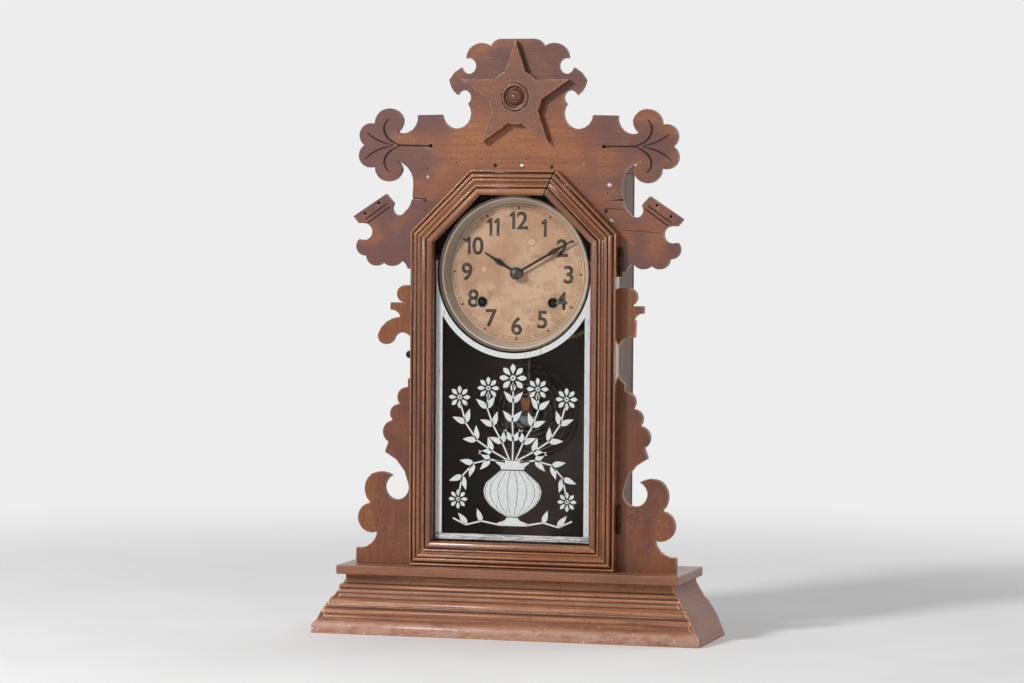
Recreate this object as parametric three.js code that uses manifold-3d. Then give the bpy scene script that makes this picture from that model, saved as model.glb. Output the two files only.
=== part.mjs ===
// Eight-day shelf clock with a sawn fretwork front, an octagon-topped door and a pendulum movement.
// Millimetres, +Z up, front towards -Y. The origin is under the middle of the base, on the table.
import * as THREE from "three";
import { mergeVertices } from "three/addons/utils/BufferGeometryUtils.js";
import Module from "manifold-3d";

const wasm = await Module();
wasm.setup();

// ---------------------------------------------------------------- driving dimensions
const GAP = 0.3; // between two pieces that touch
const PIVOT_PLAY = 0.3; // between an arbor and its hole

// base
const BASE_DEPTH = 108; // foremost edge to the back
const BASE_HALF_WIDTH = 188;
const BASE_SIDE_SPREAD = 28; // how far the side boards lean out
const BASE_FRONT_SPREAD = 19.5; // how far the front moulding steps out
const BASE_BOARD_THICKNESS = 8; // at the top of the base boards
const BASE_RAIL_THICKNESS = 8;
const TOP_BOARD_THICKNESS = 8.4;
const TOP_BOARD_TOP = 64.1; // above the table
const TOP_BOARD_SIDE_OVERHANG = 6;
const TOP_BOARD_FRONT_OVERHANG = 10.5;

// case and frets
const FRET_FACE_DEPTH = 68; // fret face to the back
const FRET_THICKNESS = 6.5;
const CASE_HALF_WIDTH = 97;
const CASE_WALL = 9.6;
const CASE_HEADROOM = 102.8; // case top above the dial centre
const ROOF_THICKNESS = 9;
const BACK_THICKNESS = 5.7;
const FRET_JOINT_RISE = 2.95; // joint of crown board and side frets above the dial centre
const CROWN_RISE = 219.3; // top of the crown above the dial centre
const FRET_LIP = 9; // fret board inward of the case side's outer face

// door
const DOOR_OVERHANG = 2.6; // door edge past the case side
const DOOR_CLEARANCE = 0.7; // door above the top board
const DOOR_RAIL_WIDTH = 23.5;
const DOOR_LIFT = 0.5; // between door back and fret face
const OCTAGON_DROP = 3; // middle of the half octagon below the dial centre
const MITRE_GAP = 0.25; // each side of a mitre
const REBATE_WIDTH = 4.2;
const REBATE_DEPTH = 9.9;
const GLASS_THICKNESS = 2;

// star
const STAR_RADIUS = 52.8; // middle to the upper tip
const STAR_WIDTH = 104.6; // it is sawn a little wider than a true star
const STAR_DISC_RADIUS = 25.5;
const STAR_RISE = 164.8; // above the dial centre
const STAR_THICKNESS = 7.7;
const ROSETTE_RADIUS = 13.2;
const ROSETTE_DOME_RADIUS = 7.4;
const ROSETTE_SEAT_DEPTH = 3;

// hinges and catch
const LOWER_HINGE_RISE = 47.9; // hinge middle above the top board
const UPPER_HINGE_RISE = 11.3; // hinge middle above the dial centre
const HINGE_LENGTH = 26;
const HINGE_LEAF = 0.8;
const HINGE_LEAF_WIDTH = 11;
const KNUCKLE_RADIUS = 1.7;
const HINGE_PIN_RADIUS = 0.7;
const HINGE_OFFSET = 1.9; // door edge to hinge axis
const HINGE_PROUD = 1.5; // hinge axis ahead of the door's back
const CATCH_HEIGHT = 262;
const CATCH_DEPTH = 15; // behind the fret face
const CATCH_REACH = 12.5;
const KNOB_LENGTH = 15;
const KNOB_RADIUS = 3.6;
const SPINDLE_RADIUS = 2;

// dial and hands
const DIAL_HEIGHT = 340.7;
const DIAL_FACE_DEPTH = 6.2; // dial face behind the fret face
const DIAL_RIM_CLEARANCE = 7.3; // rim to the door's rebate
const DIAL_FLARE = 8; // how far the rim spreads
const DIAL_RIM_DEPTH = 14; // rim ahead of the dial's floor
const DIAL_SHEET = 0.8;
const PAPER_THICKNESS = 0.4;
const WINDING_HOLE_RADIUS = 5;
const CENTER_HOLE_RADIUS = 4;
const HOUR_HAND_LENGTH = 37.8;
const HOUR_HAND_ANGLE = 301; // clockwise from twelve, degrees
const MINUTE_HAND_MARGIN = 1.2; // tip to the edge of the dial
const MINUTE_HAND_ANGLE = 60;
const HAND_THICKNESS = 0.8;
const HAND_NUT_RADIUS = 6;

// movement
const PLATE_THICKNESS = 1.5;
const PLATE_SPACING = 30; // between the plates' inner faces
const MOVEMENT_DEPTH = 18.5; // front plate's face behind the fret face
const PILLAR_RADIUS = 3;
const ARBOR_RADIUS = 1.5;
const PIVOT_RADIUS = 0.8;
const WINDING_ARBOR_RADIUS = 3.2;
const WINDING_ARBOR_X = 34.4;
const WINDING_ARBOR_DROP = 27.4; // below the dial centre
const SPRING_WIDTH = 17;
const SPRING_THICKNESS = 0.5;
const SPRING_TURNS = 6;
const SPRING_RADIUS = 23;
const GREAT_TEETH = 60;
const DRIVEN_LEAVES = 12;
const WHEEL_MODULE = 0.8;
const CENTER_TEETH = 48;
const THIRD_TEETH = 40;
const SECOND_TEETH = 48;
const PINION_LEAVES = 8;
const CANNON_LEAVES = 12;
const MINUTE_TEETH = 36;
const MINUTE_MODULE = 0.75;
const HOUR_TEETH = 36;
const HOUR_LEAVES = 9;
const ESCAPE_TEETH = 30;
const ESCAPE_RADIUS = 13.5;
const VERGE_RISE = 17.5; // verge arbor above the escape arbor

// pendulum, hammer and gong
const PENDULUM_LENGTH = 102; // suspension to the middle of the bob
const PENDULUM_ROD_RADIUS = 0.8;
const PENDULUM_BEHIND_PLATE = 5.5;
const BOB_RADIUS = 14;
const BOB_THICKNESS = 6.4;
const HAMMER_DROP = 47.2; // hammer arbor below the dial centre
const HAMMER_ARM_LENGTH = 72;
const GONG_X = -2;
const GONG_DROP = 130.7; // coil centre below the dial centre
const GONG_INNER_RADIUS = 12.5;
const GONG_TURNS = 6.5;
const GONG_PITCH = 4.85;
const GONG_WIRE_RADIUS = 1.1;
const GONG_OFF_BACK = 8.3; // coil centre ahead of the back board
const GONG_POST_ANGLE = -72; // post from the coil centre, degrees
const GONG_POST_RADIUS = 5.5;
const GONG_NECK_RADIUS = 2.3;
const GONG_ARM = 30; // foot of the stand, to the left of the post

// ---------------------------------------------------------------- planes worked out from them
const BACK_Y = BASE_DEPTH / 2;
const CASE_TOP = DIAL_HEIGHT + CASE_HEADROOM;
const FRET_JOINT_HEIGHT = DIAL_HEIGHT + FRET_JOINT_RISE;
const FRET_OPENING_HALF_WIDTH = CASE_HALF_WIDTH - FRET_LIP;
const DOOR_HALF_WIDTH = CASE_HALF_WIDTH + DOOR_OVERHANG;
const DOOR_BOTTOM = TOP_BOARD_TOP + DOOR_CLEARANCE;
const OCTAGON_HEIGHT = DIAL_HEIGHT - OCTAGON_DROP;
const STAR_HEIGHT = DIAL_HEIGHT + STAR_RISE;
const HINGE_HEIGHTS = [TOP_BOARD_TOP + LOWER_HINGE_RISE, DIAL_HEIGHT + UPPER_HINGE_RISE];
const REBATE_X = DOOR_RAIL_WIDTH - REBATE_WIDTH; // from the door's outer edge
const DIAL_RIM_RADIUS = DOOR_HALF_WIDTH - REBATE_X - DIAL_RIM_CLEARANCE;
const DIAL_RADIUS = DIAL_RIM_RADIUS - DIAL_FLARE;
const MINUTE_HAND_LENGTH = DIAL_RADIUS - MINUTE_HAND_MARGIN;
const FRET_Y = BACK_Y - FRET_FACE_DEPTH; // fret face
const FRET_BACK_Y = FRET_Y + FRET_THICKNESS;
const CASE_FRONT_Y = FRET_BACK_Y + GAP;
const BACK_BOARD_Y = BACK_Y - BACK_THICKNESS;
const DOOR_BACK_Y = FRET_Y - DOOR_LIFT;
const CASE_INNER_X = CASE_HALF_WIDTH - CASE_WALL;
const CASE_FLOOR = TOP_BOARD_TOP + GAP;
const PAPER_Y = FRET_Y + DIAL_FACE_DEPTH - GAP;
const DIAL_FLOOR_Y = PAPER_Y + PAPER_THICKNESS + GAP;
const DIAL_BACK_Y = DIAL_FLOOR_Y + DIAL_SHEET;
const PLATE_Y = FRET_Y + MOVEMENT_DEPTH;
const PLATE_INNER_Y = PLATE_Y + PLATE_THICKNESS;
const REAR_PLATE_Y = PLATE_INNER_Y + PLATE_SPACING;
const REAR_PLATE_BACK_Y = REAR_PLATE_Y + PLATE_THICKNESS;

const WALNUT = new THREE.MeshStandardMaterial({ color: 0x6b3e2a, roughness: 0.45 });
const DOOR_WALNUT = new THREE.MeshStandardMaterial({ color: 0x8a5534, roughness: 0.4 });
const PINE = new THREE.MeshStandardMaterial({ color: 0x5a4334, roughness: 0.8 });
const BRASS = new THREE.MeshStandardMaterial({ color: 0xb0924a, roughness: 0.35, metalness: 1 });
const IRON = new THREE.MeshStandardMaterial({ color: 0x3a3836, roughness: 0.5, metalness: 0.8 });
const STEEL = new THREE.MeshStandardMaterial({ color: 0x8d8f92, roughness: 0.35, metalness: 1 });
const ZINC = new THREE.MeshStandardMaterial({ color: 0x8f8c86, roughness: 0.5, metalness: 0.7 });
const PAPER = new THREE.MeshStandardMaterial({ color: 0xd9b48e, roughness: 0.8 });
const GLASS = new THREE.MeshStandardMaterial({
  color: 0xdfe8ea,
  roughness: 0.05,
  transparent: true,
  opacity: 0.35,
});
const PUTTY = new THREE.MeshStandardMaterial({ color: 0x6f6457, roughness: 0.9 });
const LEATHER = new THREE.MeshStandardMaterial({ color: 0x8c5a2b, roughness: 0.8 });

const clock = new THREE.Group();

// ---------------------------------------------------------------- solids
function toSolid(geometry) {
  const bare = geometry.index ? geometry.toNonIndexed() : geometry.clone();
  bare.deleteAttribute("normal");
  bare.deleteAttribute("uv");
  const merged = mergeVertices(bare, 1e-3);
  const solid = new wasm.Manifold(
    new wasm.Mesh({
      numProp: 3,
      vertProperties: merged.attributes.position.array,
      triVerts: new Uint32Array(merged.index.array),
    }),
  );
  return solid;
}

function toGeometry(solid) {
  const mesh = solid.getMesh();
  const geometry = new THREE.BufferGeometry();
  geometry.setAttribute("position", new THREE.BufferAttribute(mesh.vertProperties, 3));
  geometry.setIndex(new THREE.BufferAttribute(mesh.triVerts, 1));
  geometry.computeVertexNormals();
  return geometry;
}

function add(name, shape, material) {
  const mesh = new THREE.Mesh(shape.isBufferGeometry ? shape : toGeometry(shape), material);
  mesh.name = name;
  clock.add(mesh);
  return mesh;
}

const joined = (shapes) => shapes.reduce((whole, piece) => whole.add(piece));
const cut = (body, tools) => tools.reduce((rest, tool) => rest.subtract(tool), body);

// A block between two corners.
function block([x0, y0, z0], [x1, y1, z1]) {
  const box = new THREE.BoxGeometry(x1 - x0, y1 - y0, z1 - z0);
  return toSolid(box.translate((x0 + x1) / 2, (y0 + y1) / 2, (z0 + z1) / 2));
}

// Points along a line of steps: [x, z] is a straight, [mx, mz, x, z] an arc through (mx, mz).
function trace(start, steps, arcDegrees = 20) {
  const points = [start];
  for (const step of steps) {
    const [x0, z0] = points.at(-1);
    if (step.length === 2) {
      points.push(step);
      continue;
    }
    const [mx, mz, x1, z1] = step;
    const twice = 2 * (x0 * (mz - z1) + mx * (z1 - z0) + x1 * (z0 - mz));
    const [a, b, c] = [x0 ** 2 + z0 ** 2, mx ** 2 + mz ** 2, x1 ** 2 + z1 ** 2];
    const cx = (a * (mz - z1) + b * (z1 - z0) + c * (z0 - mz)) / twice;
    const cz = (a * (x1 - mx) + b * (x0 - x1) + c * (mx - x0)) / twice;
    const radius = Math.hypot(x0 - cx, z0 - cz);
    const from = Math.atan2(z0 - cz, x0 - cx);
    const turn = (angle) => ((angle % (2 * Math.PI)) + 2 * Math.PI) % (2 * Math.PI);
    const toMiddle = turn(Math.atan2(mz - cz, mx - cx) - from);
    const toEnd = turn(Math.atan2(z1 - cz, x1 - cx) - from);
    const sweep = toMiddle < toEnd ? toEnd : toEnd - 2 * Math.PI;
    const count = Math.max(2, Math.ceil(Math.abs(sweep) / THREE.MathUtils.degToRad(arcDegrees)));
    for (let i = 1; i < count; i++) {
      const angle = from + (sweep * i) / count;
      points.push([cx + radius * Math.cos(angle), cz + radius * Math.sin(angle)]);
    }
    points.push([x1, z1]);
  }
  return points;
}

// The same steps with every point moved by place(x, z).
const placed = (steps, place) =>
  steps.map((step) =>
    step.length === 2 ? place(...step) : [...place(...step.slice(0, 2)), ...place(...step.slice(2))],
  );

const mirrored = (points) => points.map(([x, z]) => [-x, z]).reverse();
const shapeOf = (points) => new THREE.Shape(points.map(([x, y]) => new THREE.Vector2(x, y)));

// A flat board with an outline in the XZ plane, between two depths.
function board(outline, y0, y1, holes = []) {
  const shape = shapeOf(outline);
  shape.holes = holes.map((hole) => shapeOf(hole));
  const geometry = new THREE.ExtrudeGeometry(shape, { depth: y1 - y0, bevelEnabled: false });
  return toSolid(geometry.rotateX(Math.PI / 2).translate(0, y1, 0));
}

// A turned piece about an axis along Y through (x, z); the profile is a closed list of [radius, y].
function turned(profile, x = 0, z = 0, sides = 16, firstAngle = 0) {
  let area = 0;
  profile.forEach(([r, y], i) => {
    const [nextR, nextY] = profile[(i + 1) % profile.length];
    area += r * nextY - nextR * y;
  });
  const loop = area > 0 ? profile : [...profile].reverse();
  const closed = [...loop, loop[0]].map(([r, y]) => new THREE.Vector2(r, y));
  const geometry = new THREE.LatheGeometry(closed, sides, firstAngle);
  return toSolid(geometry.translate(x, 0, z));
}

function rod(x, z, radius, y0, y1, sides = 10) {
  const profile = [
    [0, y0],
    [radius, y0],
    [radius, y1],
    [0, y1],
  ];
  return turned(profile, x, z, sides);
}

function circle(x, z, radius, sides = 16) {
  return Array.from({ length: sides }, (_, i) => {
    const angle = (2 * Math.PI * i) / sides;
    return [x + radius * Math.cos(angle), z + radius * Math.sin(angle)];
  });
}

const polar = (x, z, radius, angle) => [x + radius * Math.cos(angle), z + radius * Math.sin(angle)];

// ---------------------------------------------------------------- base
const BASE_HEIGHT = TOP_BOARD_TOP - TOP_BOARD_THICKNESS - GAP;
const FILLET_X = BASE_HALF_WIDTH - BASE_SIDE_SPREAD;
const FILLET_Y = -BASE_DEPTH / 2 + BASE_FRONT_SPREAD;
const MITRE_SLOPE = BASE_SIDE_SPREAD / BASE_FRONT_SPREAD;

// Front moulding: [forward of the fillet, height].
const FRONT_MOULDING = trace(
  [0, BASE_HEIGHT],
  [
    [0, 47],
    [1, 46.3],
    [3.6, 45.4, 4.3, 42.9],
    [3.3, 41.3],
    [4.6, 39.3, 3.5, 37.1],
    [4, 35, 5, 33.1],
    [9, 31.4, 10.2, 27.6],
    [10.5, 26.4],
    [12, 25.8],
    [11.2, 24],
    [13.5, 21, 12.5, 17.9],
    [12.9, 15.2, 14.6, 13.6],
    [17.8, 11.2, BASE_FRONT_SPREAD, 7],
    [BASE_FRONT_SPREAD, 0],
    [-BASE_BOARD_THICKNESS, 0],
    [-BASE_BOARD_THICKNESS, BASE_HEIGHT],
  ],
  30,
);

// A prism whose ends lean: place(across, height, end) gives a corner for end 0 or 1.
function prism(section, place) {
  const geometry = new THREE.ExtrudeGeometry(shapeOf(section), { depth: 1, bevelEnabled: false });
  const at = geometry.attributes.position;
  for (let i = 0; i < at.count; i++) at.setXYZ(i, ...place(at.getX(i), at.getY(i), at.getZ(i)));
  return toSolid(geometry);
}

const mitreX = (forward) => FILLET_X + forward * MITRE_SLOPE - GAP;
add(
  "base_front_moulding",
  prism(FRONT_MOULDING, (forward, z, end) => [
    (1 - 2 * end) * mitreX(forward),
    FILLET_Y - forward,
    z,
  ]),
  DOOR_WALNUT,
);

// Side boards: plain, leaning out, with one shallow step.
const SIDE_SECTION = [
  [-BASE_BOARD_THICKNESS, 0],
  [BASE_SIDE_SPREAD, 0],
  [BASE_SIDE_SPREAD, 1.5],
  [20.5, 19.5],
  [12, 33],
  [9, 35.2],
  [0, BASE_HEIGHT - 5.4],
  [0, BASE_HEIGHT],
  [-BASE_BOARD_THICKNESS, BASE_HEIGHT],
];
for (const [name, side] of [["base_side_left", -1], ["base_side_right", 1]]) {
  const solid = prism(SIDE_SECTION, (out, z, end) => {
    const front = FILLET_Y - out / MITRE_SLOPE + GAP;
    return [side * (FILLET_X + out), (side > 0) === (end > 0.5) ? front : BACK_Y, z];
  });
  add(name, solid, WALNUT);
}
const BASE_INNER_X = FILLET_X - BASE_BOARD_THICKNESS;
add(
  "base_back_rail",
  block(
    [-BASE_INNER_X + GAP, BACK_Y - BASE_RAIL_THICKNESS, 0],
    [BASE_INNER_X - GAP, BACK_Y, BASE_HEIGHT],
  ),
  PINE,
);
add(
  "base_top_board",
  block(
    [
      -FILLET_X - TOP_BOARD_SIDE_OVERHANG,
      FILLET_Y - TOP_BOARD_FRONT_OVERHANG,
      TOP_BOARD_TOP - TOP_BOARD_THICKNESS,
    ],
    [FILLET_X + TOP_BOARD_SIDE_OVERHANG, BACK_Y, TOP_BOARD_TOP],
  ),
  WALNUT,
);

// ---------------------------------------------------------------- case box
const ROOF_UNDERSIDE = CASE_TOP - ROOF_THICKNESS;
const SPINDLE_Y = FRET_Y + CATCH_DEPTH;
for (const [name, side] of [["case_side_left", -1], ["case_side_right", 1]]) {
  const x = [side * CASE_INNER_X, side * CASE_HALF_WIDTH].sort((a, b) => a - b);
  let wall = block(
    [x[0], CASE_FRONT_Y, CASE_FLOOR],
    [x[1], BACK_BOARD_Y - GAP, ROOF_UNDERSIDE - GAP],
  );
  if (side < 0) {
    const bore = rod(0, 0, SPINDLE_RADIUS + PIVOT_PLAY, x[0] - 1, x[1] + 1, 12);
    wall = wall.subtract(
      toSolid(toGeometry(bore).rotateZ(-Math.PI / 2).translate(0, SPINDLE_Y, CATCH_HEIGHT)),
    );
  }
  add(name, wall, PINE);
}
add(
  "case_roof",
  block(
    [-CASE_HALF_WIDTH, CASE_FRONT_Y, ROOF_UNDERSIDE],
    [CASE_HALF_WIDTH, BACK_BOARD_Y - GAP, CASE_TOP],
  ),
  PINE,
);
add(
  "back_board",
  block([-CASE_HALF_WIDTH, BACK_BOARD_Y, CASE_FLOOR], [CASE_HALF_WIDTH, BACK_Y, CASE_TOP]),
  PINE,
);

// ---------------------------------------------------------------- fretwork, left half of each outline
const OCTAGON_TAN = Math.tan(Math.PI / 8);
const OPENING_SHOULDER = FRET_OPENING_HALF_WIDTH * OCTAGON_TAN;
// Lobes over the middle: [across, above the dial centre].
const CROWN_LOBES = [
  [-16, CROWN_RISE],
  [-22.6, 216.9, -26, 212.1],
  [-41.8, 214, -49.9, 200.8],
  [-40.5, 191.5, -54.7, 192.5],
  [-61.3, 187.9, -66.4, 180.8],
  [-63.9, 173.1, -58.2, 166.7],
  [-46.9, 169.1, -48, 158.6],
  [-58, 135.3, -73.5, 148.3],
];
// Wing: [out from the case side (minus is outwards), above the dial centre].
const CROWN_WING = [
  [0, 147.8],
  [-4.9, 134.4, -20, 131.6],
  [-15.6, 137.6, -14.5, 143.8],
  [-30.3, 154, -42.8, 139.6],
  [-56.6, 133.7, -53, 119.3],
  [-56.6, 103.5, -42.5, 99],
  [-30, 85.1, -15.5, 95.3],
  [-16.5, 100.5, -21, 104.6],
  [-8.4, 96.7, -4.3, 81.3],
  [-5.1, 70.5],
  [11, 68.9],
  [-5.6, 68.4],
  [-8.3, 61.3, -12.5, 56.7],
  [-20, 53.6, -25.2, 59.8],
  [-23.7, 64.8],
  [-31.3, 73.2],
  [-63.5, 52],
  [-58, 45.5],
  [-52.5, 45.5],
  [-44.6, 37.6, -52.2, 29.7],
  [-58, 30.3],
  [-59.6, 19.9, -50.7, 14.8],
  [-44.3, 6, -33.3, 8.7],
  [-24.6, 5.2, -15.7, 10.6],
  [-12, 8.1, -9.4, FRET_JOINT_RISE],
];
const CROWN_HALF = trace(
  [0, DIAL_HEIGHT + CROWN_RISE],
  [
    ...placed(CROWN_LOBES, (x, z) => [x, DIAL_HEIGHT + z]),
    ...placed(CROWN_WING, (x, z) => [x - CASE_HALF_WIDTH, DIAL_HEIGHT + z]),
    [-FRET_OPENING_HALF_WIDTH, FRET_JOINT_HEIGHT],
    [-FRET_OPENING_HALF_WIDTH, OCTAGON_HEIGHT + OPENING_SHOULDER],
    [-OPENING_SHOULDER, OCTAGON_HEIGHT + FRET_OPENING_HALF_WIDTH],
  ],
);

const HINGE_X = DOOR_HALF_WIDTH + HINGE_OFFSET;
const HINGE_Y = DOOR_BACK_Y - HINGE_PROUD;
// Pocket for a hinge leaf in the fret's face.
const leafPockets = () =>
  HINGE_HEIGHTS.map((height) =>
    block(
      [HINGE_X - HINGE_LEAF_WIDTH - GAP, FRET_Y - 1, height - HINGE_LENGTH / 2 - GAP],
      [HINGE_X + HINGE_LEAF, FRET_Y + HINGE_LEAF, height + HINGE_LENGTH / 2 + GAP],
    ),
  );

const crown = board([...CROWN_HALF, ...mirrored(CROWN_HALF.slice(1))], FRET_Y, FRET_BACK_Y);
add("crown_fret", cut(crown, leafPockets()), WALNUT);

// Side fret: [out from the case side, above the top board], stretched to meet the crown board.
const FRET_DRAWN_HEIGHT = 278.95;
const FRET_TOP_STEPS = [
  [-1.8, FRET_DRAWN_HEIGHT],
  [-1.8, 263.7],
  [-11.5, 263.8],
  [-20, 255.6, -13, 247.4],
  [-26.2, 247.3],
  [-26.2, 240.2],
  [-19.4, 238.3, -16.5, 233.9],
];
const FRET_CURL_STEPS = [
  [-30.5, 228.8, -38.8, 216.6],
  [-30.5, 207.5, -22.3, 214.2],
  [-15.6, 218.9, -8.6, 216.9],
];
// The right curl has broken off along the grain.
const FRET_BREAK_STEPS = [
  [-18.6, 234.2],
  [-18.1, 218],
  [-8.6, 217.2],
];
const FRET_LOWER_STEPS = [
  [-3.6, 212.8, -1.6, 208.1],
  [-1.6, 185.6],
  [-3.7, 179.2, -8.6, 175.1],
  [-8.6, 167.5],
  [-17.6, 163, -16.6, 151.4],
  [-25.2, 146.3, -23.6, 135.8],
  [-33.3, 125.4, -27.7, 115.2],
  [-31.2, 105.6],
  [-15.6, 94, -7.6, 75.6],
  [-19.4, 60.5, -31.1, 74],
  [-28.6, 79.4, -23.6, 83.4],
  [-34, 86.8, -43.9, 84.7],
  [-51.2, 70, -45.4, 57],
  [-57.8, 42.6, -38.5, 29.2],
  [-45.6, 17.2, -59.2, 14],
  [-59.2, 0],
];
for (const [name, side] of [["side_fret_left", -1], ["side_fret_right", 1]]) {
  const middle = side < 0 ? FRET_CURL_STEPS : FRET_BREAK_STEPS;
  const stretch = (FRET_JOINT_HEIGHT - GAP - CASE_FLOOR) / FRET_DRAWN_HEIGHT;
  const half = trace(
    [-FRET_OPENING_HALF_WIDTH, FRET_JOINT_HEIGHT - GAP],
    [
      ...placed([...FRET_TOP_STEPS, ...middle, ...FRET_LOWER_STEPS], (x, z) => [
        x - CASE_HALF_WIDTH,
        CASE_FLOOR + z * stretch,
      ]),
      [-FRET_OPENING_HALF_WIDTH, CASE_FLOOR],
    ],
  );
  const fret = board(side < 0 ? half : mirrored(half), FRET_Y, FRET_BACK_Y);
  add(name, side < 0 ? fret : cut(fret, leafPockets()), WALNUT);
}

// ---------------------------------------------------------------- star on the crown
const STAR_BACK_Y = FRET_Y - GAP;
const STAR_FACE_Y = STAR_BACK_Y - STAR_THICKNESS;
const STAR_VALLEY = (STAR_RADIUS * Math.sin(Math.PI / 10)) / Math.sin((7 * Math.PI) / 10);
const starSpread = STAR_WIDTH / (2 * STAR_RADIUS * Math.cos(Math.PI / 10));
const starOutline = Array.from({ length: 10 }, (_, i) =>
  polar(0, STAR_HEIGHT, i % 2 ? STAR_VALLEY : STAR_RADIUS, Math.PI / 2 + (i * Math.PI) / 5),
).map(([x, z]) => [x * starSpread, z]);
const star = board(starOutline, STAR_FACE_Y, STAR_BACK_Y).add(
  board(circle(0, STAR_HEIGHT, STAR_DISC_RADIUS, 40), STAR_FACE_Y, STAR_BACK_Y),
);
const SEAT_Y = STAR_FACE_Y + ROSETTE_SEAT_DEPTH;
const seat = board(
  circle(0, STAR_HEIGHT, ROSETTE_RADIUS + GAP, 32),
  STAR_FACE_Y - 1,
  SEAT_Y,
);
add("crown_star", star.subtract(seat), DOOR_WALNUT);
const ROSETTE_PROFILE = trace(
  [0, SEAT_Y - GAP],
  [
    [ROSETTE_RADIUS, SEAT_Y - GAP],
    [ROSETTE_RADIUS, STAR_FACE_Y],
    [ROSETTE_RADIUS - 1.6, STAR_FACE_Y - 1.2, ROSETTE_RADIUS - 3.2, STAR_FACE_Y],
    [ROSETTE_RADIUS - 4.4, STAR_FACE_Y + 1.7, ROSETTE_DOME_RADIUS, STAR_FACE_Y + 0.2],
    [ROSETTE_DOME_RADIUS * 0.65, STAR_FACE_Y - 2.7, 0, STAR_FACE_Y - 3.9],
  ],
  40,
);
add("star_rosette", turned(ROSETTE_PROFILE, 0, STAR_HEIGHT, 20), DOOR_WALNUT);

// ---------------------------------------------------------------- door
// The door's outline at a distance in from its outer edge, from the lower left corner clockwise.
function doorCorners(inset) {
  const half = DOOR_HALF_WIDTH - inset;
  const shoulder = half * OCTAGON_TAN;
  const left = [
    [-half, DOOR_BOTTOM + inset],
    [-half, OCTAGON_HEIGHT + shoulder],
    [-shoulder, OCTAGON_HEIGHT + half],
  ];
  return [...left, ...mirrored(left)];
}

// Moulding section: [in from the outer edge, forward of the door's back].
const DOOR_SECTION = trace(
  [0, 0],
  [
    [0, 11.6],
    [0.8, 12.8, 1.9, 12.2],
    [2.7, 10.9],
    [3.7, 12.4],
    [5.8, 15.2, 7.8, 13.8],
    [8.3, 12.6],
    [9.8, 16, 11.2, 15],
    [12.5, 14.1, 14, 15.3],
    [14.9, 16.5, 15.8, 15.9],
    [16.7, 14.9],
    [20.2, 18.2, 23.2, 16.1],
    [DOOR_RAIL_WIDTH, 14.8],
    [DOOR_RAIL_WIDTH, REBATE_DEPTH],
    [REBATE_X, REBATE_DEPTH],
    [REBATE_X, 0],
  ],
  50,
);
const DOOR_MEMBERS = [
  "door_stile_left",
  "door_corner_left",
  "door_rail_top",
  "door_corner_right",
  "door_stile_right",
  "door_rail_bottom",
];
DOOR_MEMBERS.forEach((name, i) => {
  let member = prism(DOOR_SECTION, (inset, forward, end) => {
    const corners = doorCorners(inset);
    const [a, b] = [corners[i], corners[(i + 1) % corners.length]];
    const length = Math.hypot(b[0] - a[0], b[1] - a[1]);
    const along = end ? MITRE_GAP / length : 1 - MITRE_GAP / length;
    return [
      a[0] + (b[0] - a[0]) * along,
      DOOR_BACK_Y - forward,
      a[1] + (b[1] - a[1]) * along,
    ];
  });
  if (name === "door_stile_right") {
    const pocketX = HINGE_X - HINGE_LEAF_WIDTH - GAP;
    const pocketY = DOOR_BACK_Y - HINGE_LEAF - GAP * 2;
    const reach = HINGE_LENGTH / 2 + GAP;
    const pockets = HINGE_HEIGHTS.map((height) =>
      block(
        [pocketX, pocketY, height - reach],
        [DOOR_HALF_WIDTH + 1, DOOR_BACK_Y + 1, height + reach],
      ),
    );
    member = cut(member, pockets);
  }
  add(name, member, DOOR_WALNUT);
});

const GLASS_BACK_Y = DOOR_BACK_Y - REBATE_DEPTH + GAP + GLASS_THICKNESS;
add(
  "door_glass",
  board(doorCorners(REBATE_X + GAP), GLASS_BACK_Y - GLASS_THICKNESS, GLASS_BACK_Y),
  GLASS,
);
// Putty: a wedge that runs all round behind the glass.
const puttyFront = GLASS_BACK_Y + GAP;
const puttyRing = (outer, inner, y0, y1) =>
  board(doorCorners(outer), y0, y1, [[...doorCorners(inner)].reverse()]);
add(
  "glass_putty",
  puttyRing(REBATE_X + GAP, DOOR_RAIL_WIDTH - 1, puttyFront, puttyFront + 1.6).add(
    puttyRing(REBATE_X + GAP, REBATE_X + 1.7, puttyFront + 1, puttyFront + 4),
  ),
  PUTTY,
);

// ---------------------------------------------------------------- hinges
const KNUCKLE_BORE = HINGE_PIN_RADIUS + PIVOT_PLAY;
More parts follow.
